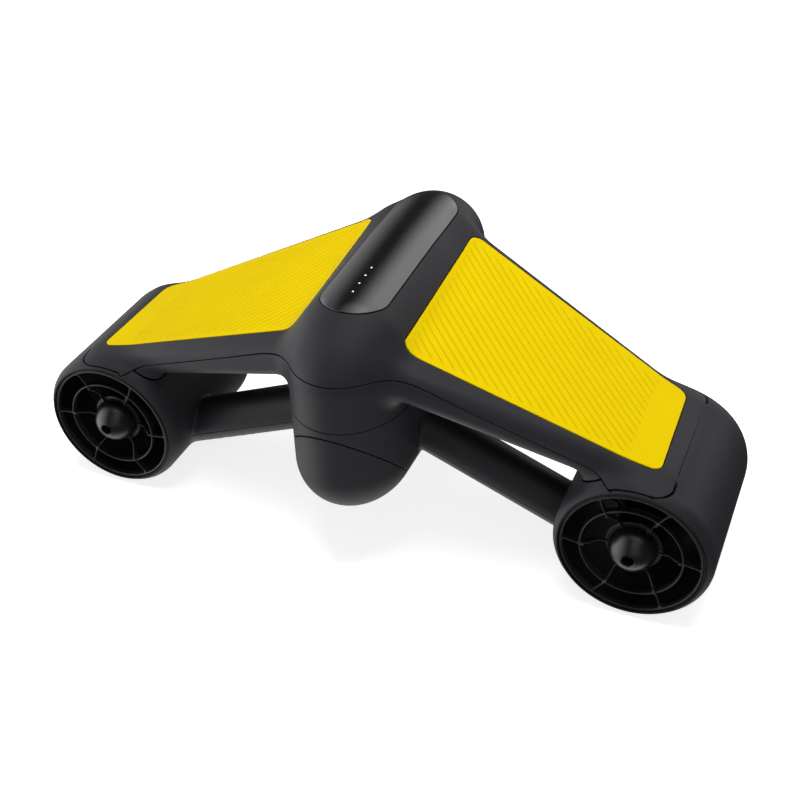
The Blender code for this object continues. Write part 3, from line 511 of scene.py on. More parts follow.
def lathe(profile, steps):
    """(radius, height) pairs turned about Z. A profile that starts off the axis is closed."""
    bm = bmesh.new()
    rings = []
    for r, z in profile:
        if r < 1e-7:
            rings.append([bm.verts.new((0, 0, z))])
        else:
            angles = [2 * math.pi * i / steps for i in range(steps)]
            rings.append([bm.verts.new((r * math.cos(a), r * math.sin(a), z)) for a in angles])
    closed = len(rings[0]) > 1
    for k in range(len(rings) if closed else len(rings) - 1):
        a, b = rings[k], rings[(k + 1) % len(rings)]
        for i in range(steps):
            j = (i + 1) % steps
            if len(a) == 1:
                bm.faces.new((a[0], b[i], b[j]))
            elif len(b) == 1:
                bm.faces.new((a[i], a[j], b[0]))
            else:
                bm.faces.new((a[i], a[j], b[j], b[i]))
    bmesh.ops.recalc_face_normals(bm, faces=bm.faces)
    return bm


def aim(bm, where, axis):
    """Turn a bmesh's Z to an axis and move its origin to a place."""
    turn = Vector((0, 0, 1)).rotation_difference(Vector(axis)).to_matrix().to_4x4()
    bmesh.ops.transform(bm, matrix=Matrix.Translation(Vector(where)) @ turn, verts=bm.verts)
    return bm


def lathe_y(profile, steps, x=0.0):
    """(radius, y) pairs turned about a fore-and-aft axis at x."""
    bm = lathe(profile, steps)
    turn = Matrix.Rotation(-math.pi / 2, 4, "X")
    bmesh.ops.transform(bm, matrix=Matrix.Translation((x, 0, 0)) @ turn, verts=bm.verts)
    return bm


def arc(cx, cz, radius, start, end, steps):
    """Profile points on a circle between two angles in degrees."""
    angles = [math.radians(start + (end - start) * k / steps) for k in range(steps + 1)]
    return [(cx + radius * math.cos(a), cz + radius * math.sin(a)) for a in angles]


def prism(loop_a, loop_b):
    """A solid between two matching loops of points."""
    bm = bmesh.new()
    a = [bm.verts.new(p) for p in loop_a]
    b = [bm.verts.new(p) for p in loop_b]
    bm.faces.new(a)
    bm.faces.new(list(reversed(b)))
    for i in range(len(a)):
        j = (i + 1) % len(a)
        bm.faces.new((a[j], a[i], b[i], b[j]))
    bmesh.ops.recalc_face_normals(bm, faces=bm.faces)
    return bm


# ---------------------------------------------------------------- shader helpers
def feed(tree, node, inputs):
    """Link outputs to a node's inputs, or set the inputs' values."""
    for key, value in inputs.items():
        if isinstance(value, bpy.types.NodeSocket):
            tree.links.new(value, node.inputs[key])
        else:
            node.inputs[key].default_value = value


def add_node(tree, kind, inputs, **settings):
    node = tree.nodes.new(kind)
    for setting, value in settings.items():
        setattr(node, setting, value)
    feed(tree, node, inputs)
    return node


def new_material(name):
    """Material, its tree, its shader node and its object coordinates."""
    mat = bpy.data.materials.new(name)
    mat.use_nodes = True
    tree = mat.node_tree
    coord = tree.nodes.new("ShaderNodeTexCoord")
    return mat, tree, tree.nodes["Principled BSDF"], coord.outputs["Object"]


def noise(tree, vector, scale, detail=2.0, rough=0.5):
    inputs = {"Scale": scale, "Detail": detail, "Roughness": rough, "Vector": vector}
    return add_node(tree, "ShaderNodeTexNoise", inputs).outputs["Fac"]


def remap(tree, value, between, to, **settings):
    inputs = {"From Min": between[0], "From Max": between[1],
              "To Min": to[0], "To Max": to[1], "Value": value}
    return add_node(tree, "ShaderNodeMapRange", inputs, **settings).outputs["Result"]


def maths(tree, operation, first, second):
    inputs = {0: first, 1: second}
    return add_node(tree, "ShaderNodeMath", inputs, operation=operation).outputs[0]


def mix_color(tree, factor, a, b):
    """Sockets 6 and 7 of a colour mix are its two colours, output 2 the result."""
    inputs = {"Factor": factor, 6: (*a, 1), 7: (*b, 1)}
    return add_node(tree, "ShaderNodeMix", inputs, data_type="RGBA").outputs[2]


def bump(tree, height, strength, depth):
    inputs = {"Strength": strength, "Distance": depth, "Height": height}
    return add_node(tree, "ShaderNodeBump", inputs).outputs["Normal"]


# ---------------------------------------------------------------- materials
def moulded(name, a, b, rough, grain=900.0, depth=0.00004, strength=0.35, coat=0.0, spec=0.5):
    """Moulded plastic: cloudy tone between two colours, eroded grain and uneven gloss."""
    mat, tree, shader, vector = new_material(name)
    tone = noise(tree, vector, scale=22.0, detail=3.0)
    fine = noise(tree, vector, scale=grain, rough=0.6)
    speck = noise(tree, vector, scale=grain * 2.3, detail=1.0)
    cloud = maths(tree, "ADD", tone, remap(tree, fine, between=(0.3, 0.7), to=(-0.25, 0.25)))
    factor = remap(tree, cloud, between=(0.2, 0.8), to=(0.0, 1.0))
    gloss = maths(tree, "ADD",
                  remap(tree, tone, between=(0.25, 0.75), to=(rough - 0.06, rough + 0.06)),
                  remap(tree, speck, between=(0.3, 0.7), to=(-0.04, 0.04)))
    feed(tree, shader, {"Base Color": mix_color(tree, factor, a, b), "Roughness": gloss,
                        "Normal": bump(tree, fine, strength, depth),
                        "Specular IOR Level": spec})
    if coat:
        feed(tree, shader, {"Coat Weight": coat, "Coat Roughness": 0.12})
    return mat


def paint_groove_shade(mat, amount, tone):
    """Darken the base colour in the grooves of the deck panels towards a darker tone: painted
    shade, for the light the grooves lose.
    """
    tree = mat.node_tree
    shader = tree.nodes["Principled BSDF"]
    source = shader.inputs["Base Color"].links[0].from_socket
    attribute = add_node(tree, "ShaderNodeAttribute", {}, attribute_name="groove")
    factor = remap(tree, attribute.outputs["Fac"], between=(0.0, 1.0), to=(0.0, amount))
    mix = add_node(tree, "ShaderNodeMix", {"Factor": factor, 6: source, 7: (*tone, 1)},
                   data_type="RGBA")
    feed(tree, shader, {"Base Color": mix.outputs[2]})


def metal(name, color, rough, stretch=(40, 600, 40)):
    """Metal with a streaky tone; the noise is stretched by different scales per axis."""
    mat, tree, shader, vector = new_material(name)
    mapping = add_node(tree, "ShaderNodeMapping", {"Scale": stretch, "Vector": vector})
    streak = noise(tree, mapping.outputs["Vector"], scale=6.0, detail=4.0)
    dark = tuple(c * 0.82 for c in color)
    feed(tree, shader, {
        "Base Color": mix_color(tree, streak, dark, color),
        "Roughness": remap(tree, streak, between=(0.3, 0.7), to=(rough - 0.08, rough + 0.10)),
        "Metallic": 1.0,
        "Normal": bump(tree, streak, strength=0.15, depth=0.00005)})
    return mat


def window_gloss():
    mat, tree, shader, vector = new_material("window_gloss")
    tone = noise(tree, vector, scale=45.0)
    feed(tree, shader, {
        "Specular IOR Level": 1.0,
        "Base Color": mix_color(tree, tone, (0.0035, 0.0035, 0.004), (0.006, 0.006, 0.0065)),
        "Roughness": remap(tree, tone, between=(0.3, 0.7), to=(0.13, 0.19)),
        "Coat Weight": 0.9, "Coat Roughness": 0.08})
    return mat


def lamp_lens():
    mat, tree, shader, vector = new_material("lamp_lens")
    tone = noise(tree, vector, scale=900.0, detail=1.0)
    feed(tree, shader, {
        "Base Color": mix_color(tree, tone, (0.75, 0.78, 0.80), (0.95, 0.96, 0.97)),
        "Emission Color": (1, 1, 1, 1), "Emission Strength": 0.5, "Roughness": 0.25})
    return mat


HULL = moulded("hull_satin", (0.0185, 0.0178, 0.0215), (0.0225, 0.0216, 0.0258), rough=0.50,
               grain=1100.0, depth=0.00006, strength=0.45, spec=0.26)
YELLOW = moulded("panel_yellow_satin", (0.83, 0.60, 0.0015), (0.89, 0.66, 0.002), rough=0.60,
                 grain=1300.0, depth=0.00003, strength=0.25, spec=0.06)
# painted shade in the grooves: the panel's base colour is darkened towards this darker yellow
paint_groove_shade(YELLOW, amount=0.5, tone=(0.50, 0.34, 0.0008))
BLACK = moulded("guard_semi_gloss", (0.012, 0.012, 0.0128), (0.016, 0.016, 0.017), rough=0.36,
                grain=700.0, depth=0.00002, strength=0.15, spec=0.35)
LINER = moulded("duct_liner", (0.004, 0.004, 0.0045), (0.006, 0.006, 0.0065), rough=0.55,
                grain=700.0, depth=0.00003, strength=0.25, spec=0.18)
DOME = moulded("dome_satin", (0.0075, 0.0075, 0.008), (0.0095, 0.0095, 0.010), rough=0.27,
               depth=0.00002, strength=0.12)
NYLON = moulded("prop_nylon", (0.005, 0.005, 0.0054), (0.007, 0.007, 0.0075), rough=0.55,
                grain=500.0, strength=0.3, spec=0.12)
RUBBER = moulded("seal_rubber", (0.012, 0.012, 0.012), (0.018, 0.018, 0.018), rough=0.8,
                 grain=600.0, depth=0.00005, strength=0.4)
CELL = moulded("cell_wrap", (0.02, 0.14, 0.34), (0.03, 0.18, 0.42), rough=0.35,
               grain=120.0, depth=0.00005, strength=0.3, coat=0.3)
BOARD = moulded("board_resist", (0.012, 0.10, 0.035), (0.02, 0.13, 0.05), rough=0.4,
                grain=260.0, depth=0.00008, strength=0.6)
STEEL = metal("steel_turned", (0.56, 0.56, 0.58), rough=0.30)
ALUMINIUM = metal("motor_anodised", (0.10, 0.10, 0.11), rough=0.38)
COPPER = metal("winding_enamel", (0.62, 0.28, 0.10), rough=0.38, stretch=(400, 60, 400))
GLOSS = window_gloss()
LENS = lamp_lens()

# ---------------------------------------------------------------- seam lines
# Each function below is positive on its own side of a seam.
# Deck panel corners: |x|, y, corner radius; anticlockwise from the inner rear one.
PANEL = ((0.0386, 0.0113, 0.0055), (0.2101, 0.0224, 0.007),
         (0.2079, 0.1112, 0.010), (0.0389, 0.1455, 0.008))
STRIP_HALF, STRIP_REAR, STRIP_FRONT = 0.0235, 0.002, 0.171    # round-ended window on the crown
SCREWS = {"rear": (0.078, 0.034), "front": (0.070, 0.126)}    # |x|, y under the wing
SCREW_HOLE_R = 0.0034
DUCT_SEAM_R = 0.0572
MOUTH_R, MOUTH_REAR, MOUTH_FRONT = 0.0498, 0.006, 0.120       # openings at both duct ends
CAP_SEAM = (-0.0355, 0.0670, -1.08)                           # height along y
CAP_SCALE = 1.472                                             # turns heights into distances
HATCH_TOP, HATCH_FRONT = 0.0735, 0.0240
POD_SIDE = 0.0445


def outline(corners):
    """Inward distance from a convex outline with rounded corners, in |x| and y."""
    points = [np.array(corner[:2]) for corner in corners]
    radii = [corner[2] for corner in corners]
    sides = []
    for i, point in enumerate(points):
        along = points[(i + 1) % len(points)] - point
        along = along / np.linalg.norm(along)
        sides.append((point, np.array([-along[1], along[0]])))

    def inward(p):
        flat = np.stack([np.abs(p[..., 0]), p[..., 1]], -1)
        gaps = [((flat - point) * normal).sum(-1) for point, normal in sides]
        best = np.minimum.reduce(gaps)
        for i, r in enumerate(radii):
            u, v = gaps[i - 1], gaps[i]
            c = float((sides[i - 1][1] * sides[i][1]).sum())
            du, dv = r - u, r - v
            # distance to the corner circle, for points in the corner's wedge
            wedge = (du - c * dv > 0) & (dv - c * du > 0) & (u < r * 3) & (v < r * 3)
            d = np.sqrt(np.maximum((du * du + dv * dv - 2 * c * du * dv) / (1 - c * c), 0))
            best = np.where(wedge, np.minimum(best, r - d), best)
        return best
    return inward


panel_in = outline(PANEL)


def strip_in(p):
    y = p[..., 1]
    middle = np.clip(y, STRIP_REAR + STRIP_HALF, STRIP_FRONT - STRIP_HALF)
    return STRIP_HALF - np.sqrt(p[..., 0] ** 2 + (y - middle) ** 2)


def deck_side(p):
    """Positive on the upper skin."""
    ax, y, z = half_space(p)
    return z - deck_z(np.maximum(ax, 0.02), y) + 0.0135


def panel_opening(p):
    return np.where(deck_side(p) > 0, -panel_in(p) - SEAM, 1.0)


def seam_height(p):
    """Height of the seam under the top shell, falling along the wing."""
    ax, y, _ = half_space(p)
    run = smax(ax - 0.043, 0.0, 0.02)
    return 0.1095 - 0.4367 * run + 0.085 * np.maximum(y - 0.01, 0)


def tip_outline(p):
    """Round-cornered end of the top shell over the duct."""
    ax, y, _ = half_space(p)
    radius = 0.013
    outer = 0.2212 - ax
    rear = y - 0.0026 + 3.0 * np.maximum(0.1845 - ax, 0)
    front = 0.1265 - y + 3.0 * np.maximum(0.192 - ax, 0)
    best = np.minimum(outer, np.minimum(rear, front))
    for end in (rear, front):
        corner = (outer < radius) & (end < radius)
        round_gap = radius - np.sqrt((radius - outer) ** 2 + (radius - end) ** 2)
        best = np.where(corner, np.minimum(best, round_gap), best)
    return best


def top_in(p):
    return smin((p[..., 2] - seam_height(p)) * 0.93, tip_outline(p), 0.004)


def tip_gap(p):
    """The seam between wing and duct, a little wider along the outer edge."""
    return SEAM + 0.00042 * smooth((np.abs(p[..., 0]) - 0.2145) / 0.004)


def axis_distance(p):
    return np.sqrt((np.abs(p[..., 0]) - AXIS_X) ** 2 + p[..., 2] ** 2)


def duct_in(p):
    return DUCT_SEAM_R - axis_distance(p)


def mouth(p):
    """Positive away from the duct mouths."""
    y = p[..., 1]
    within = np.minimum(y - MOUTH_REAR, MOUTH_FRONT - y)
    return np.where(within < 0, axis_distance(p) - MOUTH_R, 1.0)


def hatch_in(p):
    return np.minimum(HATCH_TOP - p[..., 2], HATCH_FRONT - p[..., 1])


def cap_in(p):
    return (straight(CAP_SEAM, p[..., 1]) - p[..., 2]) / CAP_SCALE


def pod_only(p):
    return POD_SIDE - np.abs(p[..., 0])


def tail_in(p):
    """Hatch frame and tail cap together."""
    return np.minimum(np.maximum(hatch_in(p), cap_in(p)), pod_only(p))


def screw_holes(p):
    """Negative in the holes under the wings."""
    ax, y, _ = half_space(p)
    gap = np.full_like(ax, 1.0)
    for hole_x, hole_y in SCREWS.values():
        gap = np.minimum(gap, np.hypot(ax - hole_x, y - hole_y) - SCREW_HOLE_R)
    return np.where(deck_side(p) > 0, 1.0, gap)


# ---------------------------------------------------------------- moulded skins
BODY_LOW, BODY_HIGH = (-0.2605, -0.0420, -0.0585), (0.2605, 0.2300, 0.1580)
body_verts, body_quads = mesh_field(
    skin, (BODY_LOW[0] - GRID / 2, *BODY_LOW[1:]), BODY_HIGH, GRID, rounds=2)
body_tris = split_quads(body_quads)


def near_line(verts, tris, line, step):
    """Triangles that reach within three steps of the kept side."""
    return tidy(verts, tris[(line(verts)[tris] > -3 * step).any(1)])


def add_skin(part, tests, body="hull", thick=WALL):
    """The part of the body skin where every test is positive."""
    verts, tris = body_verts, body_tris
    for test in tests:                       # rough cull, so that each clip has few triangles
        verts, tris = near_line(verts, tris, test, GRID)
    for test in tests:
        verts, tris = clip(verts, tris, test, GRID)
    piece = shell(*drop_crumbs(verts, tris), thick)
    add_mesh(part + "_skin", piece, body, HULL, part)


add_skin("top_shell", (lambda p: top_in(p) - tip_gap(p), panel_opening,
                       inset(outside(strip_in), SEAM), mouth), thick=0.0026)
add_skin("lower_hull", (inset(outside(top_in), SEAM), inset(outside(duct_in), SEAM),
                        screw_holes, inset(outside(tail_in), SEAM)))
add_skin("hatch_frame", (pod_only, inset(hatch_in, SEAM), inset(outside(cap_in), SEAM)))
add_skin("tail_cap", (pod_only, inset(cap_in, SEAM), lambda p: 0.06 - p[..., 1]),
         body="battery_module")
for side, sx in (("left", -1), ("right", 1)):
    add_skin(f"duct_housing_{side}", (lambda p: p[..., 0] * sx - 0.1,
                                      lambda p: -top_in(p) - tip_gap(p),
                                      inset(duct_in, SEAM), mouth))


# ---------------------------------------------------------------- patches of skin
def slide(points, rounds, least, reach):
    """Move points vertically onto the skin. least bounds the slope and reach the step;
    a negative least finds the underside."""
    bound = np.maximum if least > 0 else np.minimum
    step = 2e-5
    up = np.array([0, 0, step])
    for _ in range(rounds):
        slope = bound((skin(points + up) - skin(points - up)) / (2 * step), least)
        points[:, 2] -= np.clip(skin(points) / slope, -reach, reach)


def skin_point(x, y, z, least=0.3):
    """The skin above or below a point, and its normal there."""
    point = np.array([[x, y, z]], float)
    slide(point, 30, least, 0.01)
    return point[0], normals_of(skin, point)[0]


def patch(inside, us, vs, start_z, step, origin=(0.0, 0.0), angle=0.0):
    """A skin patch sampled from above on a grid of columns us and rows vs, turned by an angle."""
    du = np.array([math.cos(angle), math.sin(angle)])
    dv = np.array([-du[1], du[0]])
    uu, vv = np.meshgrid(us, vs, indexing="ij")
    xy = np.array(origin) + uu[..., None] * du + vv[..., None] * dv
    points = np.concatenate([xy, np.full(xy.shape[:2] + (1,), start_z)], -1).reshape(-1, 3)
    index = np.arange(uu.size).reshape(uu.shape)
    corners = (index[:-1, :-1], index[1:, :-1], index[1:, 1:], index[:-1, 1:])
    tris = split_quads(np.stack([c.ravel() for c in corners], 1))
    points, tris = near_line(points, tris, inside, step)
    slide(points, 14, 0.25, 0.02)
    return clip(points, tris, inside, step)


# ---------------------------------------------------------------- yellow deck panels
GROOVE_ANGLE = math.radians(-41.0)
GROOVE_START = (0.0411, 0.038)               # a point on one groove
GROOVE_PITCH = 0.0053
GROOVE_WIDTH = 0.00052
GROOVE_DEPTH = 0.00060
PANEL_PROUD = 0.00015                        # the lands stand above the skin
DECK_START_Z = 0.17                          # sampling starts above the deck
PANEL_REAR = (*PANEL[0][:2], 0.0647)         # panel edges along |x|
PANEL_FRONT = (*PANEL[3][:2], -0.203)
# Grid rows across one groove, from its middle
GROOVE_STEPS = (-0.0018, -0.0011, -0.0007, -0.00035, 0.0, 0.00035, 0.0007, 0.0011, 0.0018)


def groove_mask(p):
    """Positive in the grooved field of the panel, which leaves a plain margin."""
    ax, y, _ = half_space(p)
    rear = y - straight(PANEL_REAR, ax)
    front = straight(PANEL_FRONT, ax) - y
    return np.minimum.reduce([ax - 0.0420, rear - 0.0052, front - 0.0068, 0.1876 - ax])


def groove_depth(p):
    """1 at the bottom of a groove, 0 on the lands."""
    ax, y, _ = half_space(p)
    across = ((ax - GROOVE_START[0]) * -math.sin(GROOVE_ANGLE)
              + (y - GROOVE_START[1]) * math.cos(GROOVE_ANGLE))
    across = across - GROOVE_PITCH * np.round(across / GROOVE_PITCH)
    return np.exp(-(across / GROOVE_WIDTH) ** 2) * smooth(groove_mask(p) / 0.0016 + 0.5)


def panel_relief(p):
    return PANEL_PROUD - GROOVE_DEPTH * groove_depth(p)


def raised(verts, relief):
    """Move skin points along their normals by a relief, and give the normals of the result."""
    normals = normals_of(skin, verts)
    slope = gradient(relief, verts)
    slope = slope - (slope * normals).sum(1, keepdims=True) * normals
    return verts + normals * relief(verts)[:, None], unit(normals - slope)


def deck_panels():
    rows = np.concatenate([np.array(GROOVE_STEPS) + GROOVE_PITCH * k for k in range(-16, 36)])
    right_panel = lambda p: np.minimum(panel_in(p) - SEAM, p[..., 0] - 0.01)
    verts, tris = patch(right_panel, np.arange(-0.13, 0.26, 0.0024), rows, DECK_START_Z,
                        0.0009, GROOVE_START, GROOVE_ANGLE)
    verts, tris = drop_crumbs(verts, tris)
    # painted shade for the grooves, 1 at a groove's bottom, kept on the outer skin's vertices as
    # the groove attribute
    painted_groove_shade = groove_depth(verts)
    verts, normals = raised(verts, panel_relief)
    panel = shell(verts, tris, 0.0016, 0.0005, normals)
    for ob in add_pair("deck_panel_{}", "_skin", panel, YELLOW):
        shade = np.zeros(len(ob.data.vertices), np.float32)
        shade[:len(painted_groove_shade)] = painted_groove_shade
        groove = ob.data.attributes.new("groove", "FLOAT", "POINT")
        groove.data.foreach_set("value", shade)


def seat(inside, us, vs, start_z, depth):
    """A thin plate below an opening, so that its gap looks onto plastic."""
    verts, tris = patch(inset(inside, -0.0022), us, vs, start_z, 0.0045)
    normals = normals_of(skin, verts)
    return shell(verts - normals * depth, tris, 0.0008, 0.0002, normals)


deck_panels()
panel_seat = seat(panel_in, np.arange(0.03, 0.222, 0.005), np.arange(0.005, 0.16, 0.005),
                  DECK_START_Z, depth=0.0021)
add_pair("panel_seat_{}", "", panel_seat, LINER, replaces=False)

# ---------------------------------------------------------------- status window with four lamps
LAMPS = (0.0215, 0.0319, 0.0419, 0.0517)     # y of the lamps on the centre line
LAMP_HOLE_R = 0.00095
CROWN_START_Z = 0.18
GLASS_STEP = 0.0012
# Lamp profile: radius, height above the skin
LAMP = ((0.0, 0.00034), (0.00030, 0.00030), (0.00056, 0.00020), (0.00072, 0.00004),
        (0.00078, -0.0002), (0.00078, -0.0012), (0.0, -0.0012))


def window_field(p):
    """The glass stands slightly proud of the skin."""
    return skin(p) - 0.00020


def lamp_holes(p):
    return np.minimum.reduce([np.hypot(p[..., 0], p[..., 1] - y) for y in LAMPS]) - LAMP_HOLE_R


def status_window():
    verts, tris = patch(inset(strip_in, SEAM * 0.7), np.arange(-0.0264, 0.0270, GLASS_STEP),
                        np.arange(-0.004, 0.178, GLASS_STEP), CROWN_START_Z, GLASS_STEP)
    verts, tris = clip(verts, tris, lamp_holes, 0.0007)
    verts, tris = drop_crumbs(verts, tris)
    verts = to_surface(window_field, verts, 2)
    glass = shell(verts, tris, 0.0014, 0.00032, normals_of(window_field, verts))
    add_mesh("status_window_glass", glass, "hull", GLOSS, "status_window")
    below = seat(strip_in, np.arange(-0.030, 0.0301, 0.003), np.arange(-0.006, 0.180, 0.003),
                 CROWN_START_Z, depth=0.0019)
    add_mesh("window_seat", below, "hull", LINER)
    for i, y in enumerate(LAMPS):
        lamp = aim(lathe(LAMP, 20), *skin_point(0.0, y, 0.16))
        add_bmesh(f"status_lamp_{i + 1}", lamp, "hull", LENS)


status_window()

# ---------------------------------------------------------------- handle bars
BAR_FALL = math.atan(0.41)                   # the bars fall outward
BAR_X = np.array([math.cos(BAR_FALL), 0.0, -math.sin(BAR_FALL)])
BAR_Z = np.array([math.sin(BAR_FALL), 0.0, math.cos(BAR_FALL)])
BAR_ORIGIN = np.array([0.100, 0.046, 0.0077])
BAR_R = 0.0167
GRIP_STEP = 0.0014
GRIP_SEAM = SEAM * 0.8


def bar_axes(p):
    """Along the bar, forward, and up square to the bar."""
    q = np.stack(half_space(p), -1) - BAR_ORIGIN
    return q @ BAR_X, q[..., 1], q @ BAR_Z


def bar_field(p):
    _, y, z = bar_axes(p)
    return np.sqrt(y * y + z * z) - BAR_R


def handle_field(p):
    return smin(skin(p), bar_field(p), 0.003)


def grip_reach(p):
    return np.minimum(0.0026 - bar_field(p), 0.168 - np.abs(p[..., 0]))


def part_line(p):
    return bar_axes(p)[2] + 0.0040


# Trigger
TRIGGER_ANGLE = math.radians(-75.0)          # from forward towards up, about the bar
TRIGGER_GAP = 0.0004
TRIGGER_STEP = 0.0007
TRIGGER_INNER_R, TRIGGER_OUTER_R = 0.0130, 0.0179
TRIGGER_SIDE = np.array([0.0, -math.sin(TRIGGER_ANGLE), 0.0]) + BAR_Z * math.cos(TRIGGER_ANGLE)
TRIGGER_OUT = np.array([0.0, math.cos(TRIGGER_ANGLE), 0.0]) + BAR_Z * math.sin(TRIGGER_ANGLE)
PIN_R = 0.0018


def trigger_frame(p):
    """Along the handle, across the trigger, outward from the handle axis."""
    x, y, z = bar_axes(p)
    sin, cos = math.sin(TRIGGER_ANGLE), math.cos(TRIGGER_ANGLE)
    return x, -y * sin + z * cos, y * cos + z * sin


def trigger_window(p):
    """Positive inside the rounded rectangular window for the trigger."""
    x, side, out = trigger_frame(p)
    around = np.arctan2(side, np.maximum(out, 1e-6)) * BAR_R
    gap = rounded_box(0.0034, np.abs(x - 0.0297) - 0.0254, np.abs(around) - 0.0100)
    return np.where(out > 0, -gap, -0.01)


def trigger_field(p):
    x, side, out = trigger_frame(p)
    radius = np.sqrt(side * side + out * out)
    dips = (0.00012 * (1 - np.cos((x - 0.006) * 2 * math.pi / 0.0120))
            * smooth((0.0525 - x) / 0.004) * smooth((x - 0.008) / 0.004))
    wall = slab(radius, TRIGGER_INNER_R, TRIGGER_OUTER_R - dips)
    paddle = rounded_box(0.0016, np.abs(x - 0.0300) - 0.0240, np.abs(side) - 0.0090, wall)
    paddle = np.where(out > 0.003, paddle, 0.02)
    lug = rounded_box(0.0010, np.abs(x - 0.0492) - 0.0043, np.abs(side) - 0.0050,
                      np.abs(out - 0.0105) - 0.0040)
    pin_hole = PIN_R - np.hypot(x - 0.0495, out - 0.0100)
    return np.maximum(smin(paddle, lug, 0.0015), pin_hole)


def grips():
    verts, quads = mesh_field(handle_field, (0.028, 0.012, -0.046), (0.176, 0.084, 0.060),
                              GRIP_STEP, rounds=2)
    whole = verts, split_quads(quads)
    upper = (grip_reach, inset(part_line, GRIP_SEAM))
    lower = (grip_reach, inset(outside(part_line), GRIP_SEAM),
             inset(outside(trigger_window), TRIGGER_GAP + EDGE))
    for name, tests in (("grip_upper", upper), ("grip_lower", lower)):
        verts, tris = whole
        for test in tests:
            verts, tris = clip(verts, tris, test, GRIP_STEP, handle_field)
        verts, tris = drop_crumbs(verts, tris, floor=200)
        piece = shell(verts, tris, normals=normals_of(handle_field, verts))
        add_pair(name + "_{}", "_skin", piece, HULL)


def triggers():
    corners = np.array([BAR_ORIGIN + x * BAR_X + side * TRIGGER_SIDE + out * TRIGGER_OUT
                        for x in (0.005, 0.0550) for side in (-0.010, 0.010)
                        for out in (0.005, 0.0190)])
    paddle = solid(trigger_field, corners.min(0) - 0.001, corners.max(0) + 0.001, TRIGGER_STEP)
    add_pair("trigger_{}", "_paddle", paddle, BLACK, body="trigger_lever_{}")


grips()
triggers()

# ---------------------------------------------------------------- thruster guards
GUARD_STEP = 0.00062
GUARD_BOX = 0.0502                           # half width of the meshed box
RIM_R = (0.0464, 0.0483)                     # inner and outer radius of the outer rings
SPOKES = 6


def wheel_axes(p):
    """Radius, angle and y about the right thruster axis."""
    x, y, z = p[..., 0] - AXIS_X, p[..., 1], p[..., 2]
    return np.sqrt(x * x + z * z), np.arctan2(z, x), y


def ring(r, y, radii, ys, rounding):
    return rounded_box(rounding, slab(r, *radii), slab(y, *ys))


def spoke_distance(r, angle, phase=0.0, sweep=0.0):
    """Distance sideways from the nearest spoke's middle line, which may be curved."""
    f = np.clip((r - 0.020) / 0.0273, 0, 1)
    a = angle - phase - sweep * np.sin(math.pi * f) * (1 - 0.55 * f)
    step = 2 * math.pi / SPOKES
    a = a - step * np.round(a / step)
    return np.abs(r * np.sin(np.clip(a, -1.4, 1.4)))


def spoke_bars(r, across, half_width, y, ys, radii, rounding):
    bars = rounded_box(rounding, slab(y, *ys), across - half_width)
    return np.maximum(bars, np.maximum(r - radii[1], radii[0] - r))


def rear_guard_field(p):
    r, angle, y = wheel_axes(p)
    rim = ring(r, y, RIM_R, (0.0010, 0.0054), 0.0006)
    middle = ring(r, y, (0.0339, 0.0352), (0.0026, 0.0076), 0.0005)
    disc = ring(r, y - 0.10 * (r - 0.009), (0.0060, 0.0194), (0.0101, 0.0117), 0.0006)
    boss = ring(r, y, (0.0060, 0.0090), (0.0042, 0.0121), 0.0006)
    hub = smin(disc, boss, 0.002)
    across = spoke_distance(r, angle, sweep=0.075)
    rear = (0.0021 + 0.0016 * smooth((0.0318 - r) / 0.0016)
            + 0.0050 * smooth((0.0310 - r) / 0.0090))
    front = 0.0060 + 0.0052 * smooth((0.0400 - r) / 0.016)
    half_width = 0.00052 + 0.0007 * smooth((r - 0.0445) / 0.0032)
    bars = spoke_bars(r, across, half_width, y, (rear, front), (0.0168, 0.0474), 0.00045)
    nub = np.sqrt(across ** 2 + (r - 0.0322) ** 2 + (y - 0.0026) ** 2) - 0.0009
    field = smin(smin(rim, bars, 0.0016), smin(middle, nub, 0.0008), 0.0012)
    return smin(field, hub, 0.0022)


def front_guard_field(p):
    r, angle, y = wheel_axes(p)
    hub_r, cone_length = 0.0225, 0.0184
    rim = ring(r, y, RIM_R, (0.1170, 0.1272), 0.0007)
    barrel = ring(r, y, (0.0060, hub_r), (0.1024, 0.1130), 0.0008)
    ahead = np.maximum(y - 0.1110, 0) / cone_length
    cone = (np.sqrt((r / hub_r) ** 2 + ahead ** 2) - 1) * cone_length
    nose = smin(barrel, np.maximum(cone, 0.1090 - y), 0.001)
    # two fine grooves: round the side and on the tip
    nose = (nose + 0.0006 * np.exp(-((y - 0.1155) / 0.0006) ** 2)
            + 0.0006 * np.exp(-((r - 0.0075) / 0.0006) ** 2) * (y > 0.12))
    across = spoke_distance(r, angle, phase=math.radians(30))
    rear = 0.1085 + 0.0080 * smooth((r - 0.024) / 0.022)
    half_width = 0.00085 + 0.0008 * smooth((r - 0.0440) / 0.0035)
    bars = spoke_bars(r, across, half_width, y, (rear, 0.1262), (0.0170, 0.0475), 0.0007)
    middle = ring(r, y, (0.0342, 0.0356), (0.1180, 0.1250), 0.0005)
    return smin(smin(smin(rim, bars, 0.0018), middle, 0.0012), nose, 0.0024)


for part, field, rear, front, step in (
        ("rear_guard_{}", rear_guard_field, -0.0004, 0.0136, GUARD_STEP),
        ("front_guard_{}", front_guard_field, 0.1010, 0.1312, GUARD_STEP * 1.25)):
    piece = solid(field, (AXIS_X - GUARD_BOX, rear, -GUARD_BOX),
                  (AXIS_X + GUARD_BOX, front, GUARD_BOX), step)
    add_pair(part, "_moulding", piece, BLACK)

